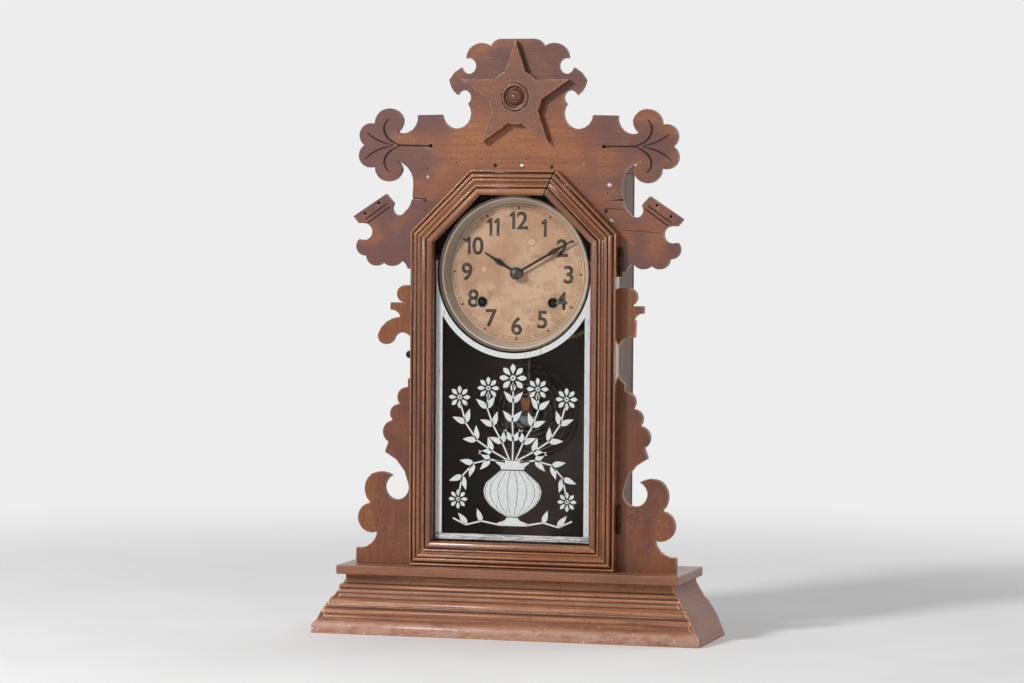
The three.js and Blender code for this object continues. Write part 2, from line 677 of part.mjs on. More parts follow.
// A piece turned about +Y is stood up along +Z at the hinge axis.
const standUp = (solid, z) =>
  toSolid(toGeometry(solid).rotateX(Math.PI / 2).translate(HINGE_X, HINGE_Y, z));
const knuckle = (z0, z1) =>
  standUp(
    turned(
      [
        [KNUCKLE_BORE, 0],
        [KNUCKLE_RADIUS, 0],
        [KNUCKLE_RADIUS, z1 - z0],
        [KNUCKLE_BORE, z1 - z0],
      ],
      0,
      0,
      10,
    ),
    z0,
  );
const CASE_LEAF_Y = FRET_Y - 0.2;
["lower", "upper"].forEach((place, i) => {
  const bottom = HINGE_HEIGHTS[i] - HINGE_LENGTH / 2;
  const third = HINGE_LENGTH / 3;
  const top = bottom + HINGE_LENGTH;
  const caseLeaf = block(
    [HINGE_X - HINGE_LEAF_WIDTH, CASE_LEAF_Y, bottom],
    [HINGE_X + 0.8, CASE_LEAF_Y + HINGE_LEAF - 0.1, top],
  );
  const webs = [
    [bottom, bottom + third - GAP / 2],
    [top - third + GAP / 2, top],
  ];
  const knuckles = webs.map(([z0, z1]) =>
    knuckle(z0, z1).add(
      block(
        [HINGE_X - 0.5, HINGE_Y + KNUCKLE_BORE + 0.3, z0 + 0.2],
        [HINGE_X + 0.5, CASE_LEAF_Y + 0.2, z1 - 0.2],
      ),
    ),
  );
  add(`hinge_${place}_case_leaf`, joined([caseLeaf, ...knuckles]), BRASS);

  const doorLeafY = DOOR_BACK_Y - HINGE_LEAF - GAP;
  const doorLeaf = block(
    [HINGE_X - HINGE_LEAF_WIDTH, doorLeafY, bottom],
    [DOOR_HALF_WIDTH - GAP, doorLeafY + HINGE_LEAF, top],
  );
  const tongue = block(
    [DOOR_HALF_WIDTH - 1, doorLeafY + 0.05, bottom + third + GAP],
    [HINGE_X - KNUCKLE_BORE - 0.2, doorLeafY + HINGE_LEAF - 0.05, top - third - GAP],
  );
  const middle = knuckle(bottom + third + GAP / 2, top - third - GAP / 2);
  add(`hinge_${place}_door_leaf`, joined([doorLeaf, tongue, middle]), BRASS);

  const pin = turned(
    [
      [0, 0],
      [HINGE_PIN_RADIUS, 0],
      [HINGE_PIN_RADIUS, HINGE_LENGTH + GAP],
      [HINGE_PIN_RADIUS + 0.7, HINGE_LENGTH + GAP],
      [HINGE_PIN_RADIUS + 0.4, HINGE_LENGTH + 1.3],
      [0, HINGE_LENGTH + 1.6],
    ],
    0,
    0,
    8,
  );
  add(`hinge_${place}_pin`, standUp(pin, bottom), BRASS);
});

// ---------------------------------------------------------------- catch
// The spindle runs through the left side, knob outside and hook inside; it is drawn about +Y first.
const layAlongX = (solid) =>
  toSolid(toGeometry(solid).rotateZ(-Math.PI / 2).translate(0, SPINDLE_Y, CATCH_HEIGHT));
const HOOK_X = -CASE_INNER_X + 3.4;
const HOOK_THICKNESS = 1.6;
const knobTip = -CASE_HALF_WIDTH - KNOB_LENGTH;
const knobProfile = trace(
  [0, knobTip],
  [
    [KNOB_RADIUS * 0.8, knobTip + 1.2, KNOB_RADIUS, knobTip + KNOB_RADIUS],
    [KNOB_RADIUS * 0.7, knobTip + 6.6, SPINDLE_RADIUS, knobTip + 7.8],
    [SPINDLE_RADIUS, -CASE_HALF_WIDTH - 3],
    [SPINDLE_RADIUS + 1.5, -CASE_HALF_WIDTH - 2.4],
    [SPINDLE_RADIUS + 1.5, -CASE_HALF_WIDTH - GAP],
    [SPINDLE_RADIUS, -CASE_HALF_WIDTH - GAP],
    [SPINDLE_RADIUS, HOOK_X + HOOK_THICKNESS + 0.8],
    [0, HOOK_X + HOOK_THICKNESS + 0.8],
  ],
  30,
);
add("catch_knob", layAlongX(turned(knobProfile, 0, 0, 12)), IRON);

// Hook in its turned-back place: [behind the spindle, above it].
const HOOK_CLAW = 6;
const HOOK_TOP = CATCH_REACH + 0.5;
const STRIKE_RADIUS = 1.2;
const strikeBack = CATCH_REACH - 3.2; // strike pin ahead of the spindle when the hook is down
const strikeDrop = 2.5 + GAP + STRIKE_RADIUS;
const hookOutline = [
  [-3.4, -2.6],
  [3, -2.6],
  [3.4, 2],
  [2.5, HOOK_TOP],
  [-HOOK_CLAW, HOOK_TOP],
  [-HOOK_CLAW, strikeBack + STRIKE_RADIUS + 0.7],
  [-2.5, strikeBack + STRIKE_RADIUS + 0.7],
  [-2.5, 3.4],
];
const hookHole = circle(0, 0, SPINDLE_RADIUS + GAP, 12).reverse();
const hookFlat = board(hookOutline, 0, HOOK_THICKNESS, [hookHole]);
// The outline's X is the clock's Y, so the plate turns to face along X.
add(
  "catch_hook",
  toSolid(
    toGeometry(hookFlat)
      .rotateZ(Math.PI / 2)
      .translate(HOOK_X + HOOK_THICKNESS, SPINDLE_Y, CATCH_HEIGHT),
  ),
  IRON,
);
const STRIKE_Y = SPINDLE_Y - strikeBack;
const STRIKE_Z = CATCH_HEIGHT - strikeDrop;
const strikeArmX = -CASE_INNER_X + 0.5;
const strikeEndX = -DOOR_HALF_WIDTH + REBATE_X - 0.8;
const strikePin = toSolid(
  toGeometry(rod(0, 0, STRIKE_RADIUS, strikeArmX, strikeEndX, 12))
    .rotateZ(-Math.PI / 2)
    .translate(0, STRIKE_Y, STRIKE_Z),
);
add(
  "door_strike",
  joined([
    block(
      [strikeArmX, DOOR_BACK_Y + GAP, STRIKE_Z - 6],
      [strikeEndX, DOOR_BACK_Y + GAP + 1, STRIKE_Z - 0.8],
    ),
    block(
      [strikeArmX, DOOR_BACK_Y + GAP + 0.1, STRIKE_Z - 1.6],
      [strikeArmX + 1, STRIKE_Y + 1.5, STRIKE_Z + 1.6],
    ),
    strikePin,
  ]),
  IRON,
);

// ---------------------------------------------------------------- dial
const windingPoints = [1, -1].map((side) => [
  side * WINDING_ARBOR_X,
  DIAL_HEIGHT - WINDING_ARBOR_DROP,
]);
const dialHoles = windingPoints.map(([x, z]) =>
  board(circle(x, z, WINDING_HOLE_RADIUS, 14), DIAL_FLOOR_Y - 1, DIAL_BACK_Y + 1),
);
const DIAL_RIM_Y = DIAL_FLOOR_Y - DIAL_RIM_DEPTH;
const pan = turned(
  [
    [CENTER_HOLE_RADIUS, DIAL_FLOOR_Y],
    [DIAL_RADIUS + GAP, DIAL_FLOOR_Y],
    [DIAL_RIM_RADIUS - DIAL_SHEET, DIAL_RIM_Y],
    [DIAL_RIM_RADIUS, DIAL_RIM_Y],
    [DIAL_RADIUS + GAP + DIAL_SHEET, DIAL_BACK_Y],
    [CENTER_HOLE_RADIUS, DIAL_BACK_Y],
  ],
  0,
  DIAL_HEIGHT,
  40,
);
add("dial_pan", cut(pan, dialHoles), ZINC);
add(
  "dial_paper",
  board(circle(0, DIAL_HEIGHT, DIAL_RADIUS, 40), PAPER_Y, PAPER_Y + PAPER_THICKNESS, [
    circle(0, DIAL_HEIGHT, CENTER_HOLE_RADIUS, 14).reverse(),
    ...windingPoints.map(([x, z]) => circle(x, z, WINDING_HOLE_RADIUS, 14).reverse()),
  ]),
  PAPER,
);
const DIAL_BLOCK_REACH = 56;
for (const [name, side] of [["dial_block_left", -1], ["dial_block_right", 1]]) {
  const x = [side * DIAL_BLOCK_REACH, side * (CASE_INNER_X - GAP)].sort((a, b) => a - b);
  add(
    name,
    block(
      [x[0], DIAL_BACK_Y + GAP, DIAL_HEIGHT - 15],
      [x[1], DIAL_BACK_Y + GAP + 12, DIAL_HEIGHT + 15],
    ),
    PINE,
  );
}

// ---------------------------------------------------------------- gears
// Outline of a wheel with low, slim, pointed teeth that roll with 0.2 mm or more of play.
const ADDENDUM = 0.75;
const DEDENDUM = 1.1;
const BACKLASH = 0.3;
function gearOutline(x, z, teeth, module, toothAngle) {
  const pitchRadius = (teeth * module) / 2;
  const tooth = (Math.PI * module) / 2 - BACKLASH;
  const tipRadius = pitchRadius + ADDENDUM * module;
  const pitch = [pitchRadius, 0.9];
  const root = [pitchRadius - DEDENDUM * module, teeth < 20 ? 0.95 : 1.35];
  const points = [];
  for (let i = 0; i < teeth; i++) {
    const middle = toothAngle + (2 * Math.PI * i) / teeth;
    const flank = teeth < 20 ? [root, pitch] : [root];
    for (const [radius, share] of flank)
      points.push(polar(x, z, radius, middle - (share * tooth) / 2 / radius));
    points.push(polar(x, z, tipRadius, middle));
    for (const [radius, share] of [...flank].reverse())
      points.push(polar(x, z, radius, middle + (share * tooth) / 2 / radius));
  }
  return points;
}
// Openings between the spokes of a wheel.
function spokeOpenings(x, z, inner, outer, spokes, spokeWidth) {
  return Array.from({ length: spokes }, (_, i) => {
    const [start, end] = [(2 * Math.PI * i) / spokes, (2 * Math.PI * (i + 1)) / spokes];
    const edge = (radius) => Math.asin(spokeWidth / 2 / radius);
    const arc = (radius, count) =>
      Array.from({ length: count + 1 }, (_, k) => {
        const from = start + edge(radius);
        return polar(x, z, radius, from + ((end - edge(radius) - from) * k) / count);
      });
    return [...arc(inner, 1), ...arc(outer, 4).reverse()];
  });
}
function wheel(x, z, teeth, module, toothAngle, y0, y1, bore, spokes = 0) {
  const rim = (teeth * module) / 2 - DEDENDUM * module - 2.2;
  const holes = spokes ? spokeOpenings(x, z, rim * 0.34, rim, spokes, 2.4) : [];
  if (bore) holes.push(circle(x, z, bore, 12).reverse());
  return board(gearOutline(x, z, teeth, module, toothAngle), y0, y1, holes);
}
// A tooth of the driver points along `direction`, and a space of the driven wheel faces it.
const spaceFacing = (direction, teeth) => direction + Math.PI + Math.PI / teeth;
const directionTo = ([x0, z0], [x1, z1]) => Math.atan2(z1 - z0, x1 - x0);

// ---------------------------------------------------------------- where the arbors stand
const center = [0, DIAL_HEIGHT];
const [timeArbor, strikeArbor] = windingPoints;
const greatDistance = Math.hypot(WINDING_ARBOR_X, WINDING_ARBOR_DROP);
const GREAT_MODULE = (2 * greatDistance) / (GREAT_TEETH + DRIVEN_LEAVES);
const centerToThird = ((CENTER_TEETH + PINION_LEAVES) * WHEEL_MODULE) / 2;
const thirdToEscape = ((THIRD_TEETH + PINION_LEAVES) * WHEEL_MODULE) / 2;
const THIRD_X = 14;
const third = [THIRD_X, DIAL_HEIGHT + Math.sqrt(centerToThird ** 2 - THIRD_X ** 2)];
const escape = [0, third[1] + Math.sqrt(thirdToEscape ** 2 - THIRD_X ** 2)];
const verge = [0, escape[1] + VERGE_RISE];
const second = polar(...strikeArbor, greatDistance, THREE.MathUtils.degToRad(78));
const fly = polar(
  ...second,
  ((SECOND_TEETH + PINION_LEAVES) * WHEEL_MODULE) / 2,
  THREE.MathUtils.degToRad(110),
);
const hammer = [0, DIAL_HEIGHT - HAMMER_DROP];
const motionDistance = ((CANNON_LEAVES + MINUTE_TEETH) * MINUTE_MODULE) / 2;
const HOUR_MODULE = (2 * motionDistance) / (HOUR_TEETH + HOUR_LEAVES);
const minuteStud = polar(...center, motionDistance, THREE.MathUtils.degToRad(20));

// Planes of the wheels, behind the front plate's inner face.
const ESCAPE_Y = PLATE_INNER_Y + 3;
const THIRD_Y = PLATE_INNER_Y + 9;
const SECOND_Y = PLATE_INNER_Y + 12.5;
const CENTER_Y = PLATE_INNER_Y + 15.5;
const STRIKE_GREAT_Y = PLATE_INNER_Y + 20;
const TIME_GREAT_Y = PLATE_INNER_Y + 24;
const THIN_WHEEL = 1.2;
const GREAT_WHEEL = 2;

// An arbor between the plates with a pivot at each end.
function arbor(x, z, radius = ARBOR_RADIUS) {
  const shoulders = [PLATE_INNER_Y + GAP, REAR_PLATE_Y - GAP];
  return turned(
    [
      [0, PLATE_Y],
      [PIVOT_RADIUS, PLATE_Y],
      [PIVOT_RADIUS, shoulders[0]],
      [radius, shoulders[0]],
      [radius, shoulders[1]],
      [PIVOT_RADIUS, shoulders[1]],
      [PIVOT_RADIUS, REAR_PLATE_BACK_Y],
      [0, REAR_PLATE_BACK_Y],
    ],
    x,
    z,
    8,
  );
}
function pinion([x, z], leaves, module, toothAngle, wheelY, thickness) {
  return wheel(x, z, leaves, module, toothAngle, wheelY - 0.8, wheelY + thickness + 0.8, 0);
}

// ---------------------------------------------------------------- plates
// [across, above the dial centre]
const PLATE_HALF = [
  [17, -70.7],
  [43, -56.7],
  [48, -40.7],
  [48, 4.3],
  [46, 61.3],
  [0, 61.3],
];
const onDial = (points) => points.map(([x, z]) => [x, DIAL_HEIGHT + z]);
const plateOutline = onDial([...PLATE_HALF, ...mirrored(PLATE_HALF.slice(0, -1))]);
const pillarSpots = onDial([[-41, 55.3], [41, 55.3], [-13, -64.2], [13, -64.2]]);
const legSpots = onDial([[-41, -10.7], [41, -10.7]]);
const pivotHoles = [third, escape, second, fly, hammer].map(([x, z]) =>
  circle(x, z, PIVOT_RADIUS + PIVOT_PLAY, 8).reverse(),
);
const windingPivots = windingPoints.map(([x, z]) =>
  circle(x, z, WINDING_ARBOR_RADIUS - 0.4 + PIVOT_PLAY, 12).reverse(),
);
const CENTER_PIPE_RADIUS = 2.1;
const springPost = ([x, z]) => [x, z - SPRING_RADIUS - SPRING_THICKNESS / 2 - GAP - PIVOT_RADIUS * 2];
const frontPlate = joined([
  board(plateOutline, PLATE_Y, PLATE_INNER_Y, [
    ...pivotHoles,
    ...windingPivots,
    circle(...verge, PIVOT_RADIUS + PIVOT_PLAY, 8).reverse(),
    circle(...center, CENTER_PIPE_RADIUS + PIVOT_PLAY, 12).reverse(),
  ]),
  ...windingPoints.map((point) =>
    rod(...springPost(point), PIVOT_RADIUS * 1.6, PLATE_INNER_Y - 0.5, PLATE_INNER_Y + 2 + SPRING_WIDTH, 8),
  ),
  rod(...minuteStud, 1.1, PLATE_Y - 8.4, PLATE_Y + 0.5, 8),
]);
add("front_plate", frontPlate, BRASS);

const SUSPENSION_Y = REAR_PLATE_BACK_Y + PENDULUM_BEHIND_PLATE;
const COCK_BOTTOM = verge[1] + 2.8;
const VERGE_REAR_RADIUS = 1.2;
const backPlate = joined([
  board(plateOutline, REAR_PLATE_Y, REAR_PLATE_BACK_Y, [
    ...pivotHoles,
    ...windingPivots,
    circle(...verge, VERGE_REAR_RADIUS + PIVOT_PLAY, 8).reverse(),
    circle(...center, PIVOT_RADIUS + PIVOT_PLAY, 8).reverse(),
  ]),
  ...pillarSpots.map(([x, z]) => rod(x, z, PILLAR_RADIUS, PLATE_INNER_Y + GAP, REAR_PLATE_Y + 0.5, 8)),
  ...[...pillarSpots.slice(0, 2), ...legSpots].map(([x, z]) =>
    rod(x, z, PILLAR_RADIUS, REAR_PLATE_BACK_Y - 0.5, BACK_BOARD_Y - GAP, 8),
  ),
  block([-4, REAR_PLATE_BACK_Y - 0.5, COCK_BOTTOM], [4, SUSPENSION_Y + 2.5, COCK_BOTTOM + 5]),
]);
add("back_plate", backPlate, BRASS);

// ---------------------------------------------------------------- winding arbors and mainsprings
function windingArbor([x, z]) {
  const pivot = WINDING_ARBOR_RADIUS - 0.4;
  const square = 2.9; // half the diagonal of the key square
  const body = turned(
    [
      [0, PLATE_Y - 3],
      [pivot, PLATE_Y - 3],
      [pivot, PLATE_INNER_Y + GAP],
      [WINDING_ARBOR_RADIUS, PLATE_INNER_Y + GAP],
      [WINDING_ARBOR_RADIUS, REAR_PLATE_Y - GAP],
      [pivot, REAR_PLATE_Y - GAP],
      [pivot, REAR_PLATE_BACK_Y],
      [0, REAR_PLATE_BACK_Y],
    ],
    x,
    z,
    12,
  );
  return body.add(rod(x, z, square, PAPER_Y + 0.2, PLATE_Y - 2, 4));
}
// A flat spring from its hook at the arbor out to its post.
function mainspring([x, z], hand) {
  const steps = SPRING_TURNS * 11;
  const inner = WINDING_ARBOR_RADIUS + GAP + SPRING_THICKNESS / 2;
  const line = (offset) =>
    Array.from({ length: steps + 1 }, (_, i) => {
      const share = i / steps;
      const angle = -Math.PI / 2 + hand * 2 * Math.PI * SPRING_TURNS * (share - 1);
      return polar(x, z, inner + (SPRING_RADIUS - inner) * share + offset, angle);
    });
  const half = SPRING_THICKNESS / 2;
  const y0 = PLATE_INNER_Y + 2;
  return board([...line(half), ...line(-half).reverse()], y0, y0 + SPRING_WIDTH);
}
for (const [side, point, wheelY, hand] of [
  ["time", timeArbor, TIME_GREAT_Y, 1],
  ["strike", strikeArbor, STRIKE_GREAT_Y, -1],
]) {
  const driven = side === "time" ? center : second;
  add(`${side}_winding_arbor`, windingArbor(point), STEEL);
  add(
    `${side}_great_wheel`,
    wheel(
      ...point,
      GREAT_TEETH,
      GREAT_MODULE,
      directionTo(point, driven),
      wheelY,
      wheelY + GREAT_WHEEL,
      WINDING_ARBOR_RADIUS + PIVOT_PLAY,
      5,
    ),
    BRASS,
  );
  add(`${side}_mainspring`, mainspring(point, hand), STEEL);
}

// ---------------------------------------------------------------- going train
const greatPinion = (from, to, wheelY) =>
  pinion(
    to,
    DRIVEN_LEAVES,
    GREAT_MODULE,
    spaceFacing(directionTo(from, to), DRIVEN_LEAVES),
    wheelY,
    GREAT_WHEEL,
  );
const CANNON_Y = PLATE_Y - 3.2;
const HAND_SHOULDER_Y = PAPER_Y - 4.2;
const ARBOR_TIP_Y = HAND_SHOULDER_Y - 4.6;
const centerArbor = joined([
  arbor(...center),
  turned(
    [
      [0, ARBOR_TIP_Y],
      [1.2, ARBOR_TIP_Y],
      [1.2, HAND_SHOULDER_Y],
      [CENTER_PIPE_RADIUS, HAND_SHOULDER_Y],
      [CENTER_PIPE_RADIUS, PLATE_INNER_Y + 1.5],
      [0, PLATE_INNER_Y + 1.5],
    ],
    ...center,
    10,
  ),
  wheel(
    ...center,
    CANNON_LEAVES,
    MINUTE_MODULE,
    directionTo(center, minuteStud),
    CANNON_Y - 0.8,
    CANNON_Y + THIN_WHEEL + 0.8,
    0,
  ),
  greatPinion(timeArbor, center, TIME_GREAT_Y),
  wheel(
    ...center,
    CENTER_TEETH,
    WHEEL_MODULE,
    directionTo(center, third),
    CENTER_Y,
    CENTER_Y + THIN_WHEEL,
    0,
    4,
  ),
]);
add("center_arbor", centerArbor, BRASS);

add(
  "third_wheel",
  joined([
    arbor(...third),
    pinion(
      third,
      PINION_LEAVES,
      WHEEL_MODULE,
      spaceFacing(directionTo(center, third), PINION_LEAVES),
      CENTER_Y,
      THIN_WHEEL,
    ),
    wheel(
      ...third,
      THIRD_TEETH,
      WHEEL_MODULE,
      directionTo(third, escape),
      THIRD_Y,
      THIRD_Y + THIN_WHEEL,
      0,
      4,
    ),
  ]),
  BRASS,
);

// Recoil escape wheel: raked, pointed teeth.
const escapeOutline = Array.from({ length: ESCAPE_TEETH }, (_, i) => {
  const angle = (2 * Math.PI * i) / ESCAPE_TEETH;
  const pitch = (2 * Math.PI) / ESCAPE_TEETH;
  return [
    polar(...escape, ESCAPE_RADIUS - 2.6, angle),
    polar(...escape, ESCAPE_RADIUS, angle + pitch * 0.58),
    polar(...escape, ESCAPE_RADIUS - 2.6, angle + pitch * 0.66),
  ];
}).flat();
add(
  "escape_wheel",
  joined([
    arbor(...escape),
    pinion(
      escape,
      PINION_LEAVES,
      WHEEL_MODULE,
      spaceFacing(directionTo(third, escape), PINION_LEAVES),
      THIRD_Y,
      THIN_WHEEL,
    ),
    board(
      escapeOutline,
      ESCAPE_Y,
      ESCAPE_Y + THIN_WHEEL,
      spokeOpenings(...escape, 3.4, ESCAPE_RADIUS - 4.4, 4, 2),
    ),
  ]),
  BRASS,
);

// Verge: a bent strip over the escape wheel, with the crutch behind the rear plate.
const CRUTCH_Y = REAR_PLATE_BACK_Y + 1.5;
const CRUTCH_LENGTH = 38;
const PALLET_X = 9.6;
const PALLET_DROP = 6.9;
const vergeStrip = [
  [-PALLET_X - 1.3, -PALLET_DROP],
  [-PALLET_X, -PALLET_DROP],
  [-7.4, -1.4],
  [7.4, -1.4],
  [PALLET_X, -PALLET_DROP],
  [PALLET_X + 1.3, -PALLET_DROP],
  [8.2, 1.2],
  [2.6, 2.4],
  [-2.6, 2.4],
  [-8.2, 1.2],
].map(([x, z]) => [verge[0] + x, verge[1] + z]);
const crutchBottom = verge[1] - CRUTCH_LENGTH;
const forkGap = PENDULUM_ROD_RADIUS + 0.4;
const vergeBody = joined([
  turned(
    [
      [0, PLATE_Y],
      [PIVOT_RADIUS, PLATE_Y],
      [PIVOT_RADIUS, PLATE_INNER_Y + GAP],
      [VERGE_REAR_RADIUS, PLATE_INNER_Y + GAP],
      [VERGE_REAR_RADIUS, CRUTCH_Y + 1],
      [0, CRUTCH_Y + 1],
    ],
    ...verge,
    8,
  ),
  board(vergeStrip, ESCAPE_Y, ESCAPE_Y + THIN_WHEEL),
  block([-1, CRUTCH_Y, crutchBottom + 2], [1, CRUTCH_Y + 1, verge[1]]),
  block([-forkGap - 1, CRUTCH_Y, crutchBottom], [forkGap + 1, CRUTCH_Y + 1, crutchBottom + 3]),
  ...[-1, 1].map((side) => {
    const x = [side * forkGap, side * (forkGap + 1)].sort((a, b) => a - b);
    return block([x[0], CRUTCH_Y, crutchBottom], [x[1], SUSPENSION_Y + 2, crutchBottom + 3]);
  }),
]);
add("verge_and_crutch", vergeBody, STEEL);

// ---------------------------------------------------------------- pendulum
const bobHeight = verge[1] - PENDULUM_LENGTH;
const rodBottom = bobHeight - BOB_RADIUS - 6;
const upright = (solid, y) => toSolid(toGeometry(solid).rotateX(Math.PI / 2).translate(0, y, 0));
const pendulumRod = joined([
  upright(
    turned(
      [
        [0, rodBottom],
        [PENDULUM_ROD_RADIUS, rodBottom],
        [PENDULUM_ROD_RADIUS, verge[1] - 6],
        [0, verge[1] - 6],
      ],
      0,
      0,
      10,
    ),
    SUSPENSION_Y,
  ),
  upright(
    turned(
      [
        [0, rodBottom],
        [2.2, rodBottom],
        [2.2, bobHeight - BOB_RADIUS - GAP],
        [0, bobHeight - BOB_RADIUS - GAP],
      ],
      0,
      0,
      12,
    ),
    SUSPENSION_Y,
  ),
  block(
    [-1.5, SUSPENSION_Y - 0.3, verge[1] - 8],
    [1.5, SUSPENSION_Y + 0.3, COCK_BOTTOM - GAP],
  ),
]);
add("pendulum_rod", pendulumRod, STEEL);
const bobFace = BOB_THICKNESS / 2;
const bobBlank = turned(
  trace(
    [0, SUSPENSION_Y - bobFace],
    [
      [BOB_RADIUS * 0.6, SUSPENSION_Y - bobFace * 0.8, BOB_RADIUS, SUSPENSION_Y - 0.5],
      [BOB_RADIUS, SUSPENSION_Y + 0.5],
      [BOB_RADIUS * 0.6, SUSPENSION_Y + bobFace * 0.8, 0, SUSPENSION_Y + bobFace],
    ],
    12,
  ),
  0,
  bobHeight,
  20,
);
const bobBore = upright(
  turned(
    [
      [0, bobHeight - BOB_RADIUS - 1],
      [PENDULUM_ROD_RADIUS + GAP, bobHeight - BOB_RADIUS - 1],
      [PENDULUM_ROD_RADIUS + GAP, bobHeight + BOB_RADIUS + 1],
      [0, bobHeight + BOB_RADIUS + 1],
    ],
    0,
    0,
    10,
  ),
  SUSPENSION_Y,
);
add("pendulum_bob", bobBlank.subtract(bobBore), BRASS);

// ---------------------------------------------------------------- striking train
add(
  "strike_second_wheel",
  joined([
    arbor(...second),
    greatPinion(strikeArbor, second, STRIKE_GREAT_Y),
    wheel(
      ...second,
      SECOND_TEETH,
      WHEEL_MODULE,
      directionTo(second, fly),
      SECOND_Y,
      SECOND_Y + THIN_WHEEL,
      0,
      4,
    ),
  ]),
  BRASS,
);
const FLY_REACH = 12.5;
add(
  "fly",
  joined([
    arbor(...fly),
    pinion(
      fly,
      PINION_LEAVES,
      WHEEL_MODULE,
      spaceFacing(directionTo(second, fly), PINION_LEAVES),
      SECOND_Y,
      THIN_WHEEL,
    ),
    block(
      [fly[0] - FLY_REACH, PLATE_INNER_Y + 1.5, fly[1] - 0.4],
      [fly[0] + FLY_REACH, SECOND_Y - 1.6, fly[1] + 0.4],
    ),
  ]),
  BRASS,
);

const HAMMER_ARM_Y = REAR_PLATE_Y - 2.6;
const armBottom = hammer[1] - HAMMER_ARM_LENGTH;
add(
  "strike_hammer",
  joined([
    arbor(...hammer, 1.2),
    block([-1, HAMMER_ARM_Y, armBottom], [1, HAMMER_ARM_Y + 1.6, hammer[1]]),
  ]),
  STEEL,
);
const HEAD_TOP = armBottom - GAP;
const headX = -2.5;
const HEAD_HEIGHT = 12;
const headOutline = [
  [headX - 3, HEAD_TOP - HEAD_HEIGHT],
  [headX + 3, HEAD_TOP - HEAD_HEIGHT],
  [headX + 5.6, HEAD_TOP],
  [headX - 5.6, HEAD_TOP],
];
const GONG_Y = BACK_BOARD_Y - GONG_OFF_BACK;
const headBackY = GONG_Y - GONG_WIRE_RADIUS - 0.6;
add(
  "hammer_head",
  board(headOutline, HAMMER_ARM_Y - 2, headBackY).add(
    block(
      [headX - 3, headBackY - 0.5, HEAD_TOP - HEAD_HEIGHT],
      [headX + 3, GONG_Y + 1, HEAD_TOP - HEAD_HEIGHT + 6],
    ),
  ),
  LEATHER,
);

// ---------------------------------------------------------------- motion work and hands
const MINUTE_WHEEL_Y = CANNON_Y;
const HOUR_WHEEL_Y = CANNON_Y - 4.2;
add(
  "minute_wheel",
  joined([
    wheel(
      ...minuteStud,
      MINUTE_TEETH,
      MINUTE_MODULE,
      spaceFacing(directionTo(center, minuteStud), MINUTE_TEETH),
      MINUTE_WHEEL_Y,
      MINUTE_WHEEL_Y + THIN_WHEEL,
      1.1 + PIVOT_PLAY,
    ),
    wheel(
      ...minuteStud,
      HOUR_LEAVES,
      HOUR_MODULE,
      directionTo(minuteStud, center),
      HOUR_WHEEL_Y - 0.5,
      MINUTE_WHEEL_Y + 0.1,
      1.1 + PIVOT_PLAY,
    ),
  ]),
  BRASS,
);
const HOUR_PIPE_INNER = CENTER_PIPE_RADIUS + 0.35;
const HOUR_PIPE_OUTER = CENTER_HOLE_RADIUS - 0.5;
const HOUR_HAND_Y = PAPER_Y - 2.6;
add(
  "hour_wheel",
  joined([
    wheel(
      ...center,
      HOUR_TEETH,
      HOUR_MODULE,
      spaceFacing(directionTo(minuteStud, center), HOUR_TEETH),
      HOUR_WHEEL_Y,
      HOUR_WHEEL_Y + THIN_WHEEL,
      HOUR_PIPE_INNER,
      0,
    ),
    turned(
      [
        [HOUR_PIPE_INNER, HOUR_HAND_Y - 0.3],
        [HOUR_PIPE_OUTER, HOUR_HAND_Y - 0.3],
        [HOUR_PIPE_OUTER, HOUR_WHEEL_Y + THIN_WHEEL],
        [HOUR_PIPE_INNER, HOUR_WHEEL_Y + THIN_WHEEL],
      ],
      ...center,
      12,
    ),
  ]),
  BRASS,
);

// A hand lies along +Z: boss, thin stem, leaf and point. [half width, distance from the centre].
function hand(boss, bore, stem, [leafLength, leafHalf, pointLength], length, angle, y) {
  const leafEnd = length - pointLength;
  const leafStart = leafEnd - leafLength;
  const half = trace(
    [0, length],
    [
      [-stem * 0.6, length - 2],
      [-stem, leafEnd],
      [-leafHalf, leafEnd - (leafEnd - leafStart) * 0.45, -stem, leafStart],
      [-stem, boss * 0.8],
    ],
    30,
  );
  const blade = [...half, ...mirrored(half.slice(1))];
  const flat = board(blade, y, y + HAND_THICKNESS)
    .add(board(circle(0, 0, boss, 16), y, y + HAND_THICKNESS))
    .subtract(board(circle(0, 0, bore, 12), y - 1, y + HAND_THICKNESS + 1));
  const turn = THREE.MathUtils.degToRad(angle);
  return toSolid(toGeometry(flat).rotateY(turn).translate(0, 0, DIAL_HEIGHT));
}
add(
  "hour_hand",
  hand(5.6, HOUR_PIPE_OUTER + GAP, 1.2, [12, 2.7, 11.3], HOUR_HAND_LENGTH, HOUR_HAND_ANGLE, HOUR_HAND_Y),
  IRON,
);
const MINUTE_HAND_Y = HAND_SHOULDER_Y - GAP - HAND_THICKNESS;
add(
  "minute_hand",
  hand(4.6, 1.5, 1.1, [15, 2.5, 14.8], MINUTE_HAND_LENGTH, MINUTE_HAND_ANGLE, MINUTE_HAND_Y),
  IRON,
);
const NUT_BACK_Y = MINUTE_HAND_Y - GAP;
const NUT_HEIGHT = 5;
add(
  "hand_nut",
  turned(
    trace(
      [1.5, NUT_BACK_Y],
      [
        [1.5, ARBOR_TIP_Y - GAP],
        [0, ARBOR_TIP_Y - GAP],
        [0, NUT_BACK_Y - NUT_HEIGHT],
        [HAND_NUT_RADIUS * 0.72, NUT_BACK_Y - NUT_HEIGHT * 0.74, HAND_NUT_RADIUS, NUT_BACK_Y - 1],
        [HAND_NUT_RADIUS, NUT_BACK_Y],
      ],
      24,
    ),
    ...center,
    16,
  ),
  STEEL,
);

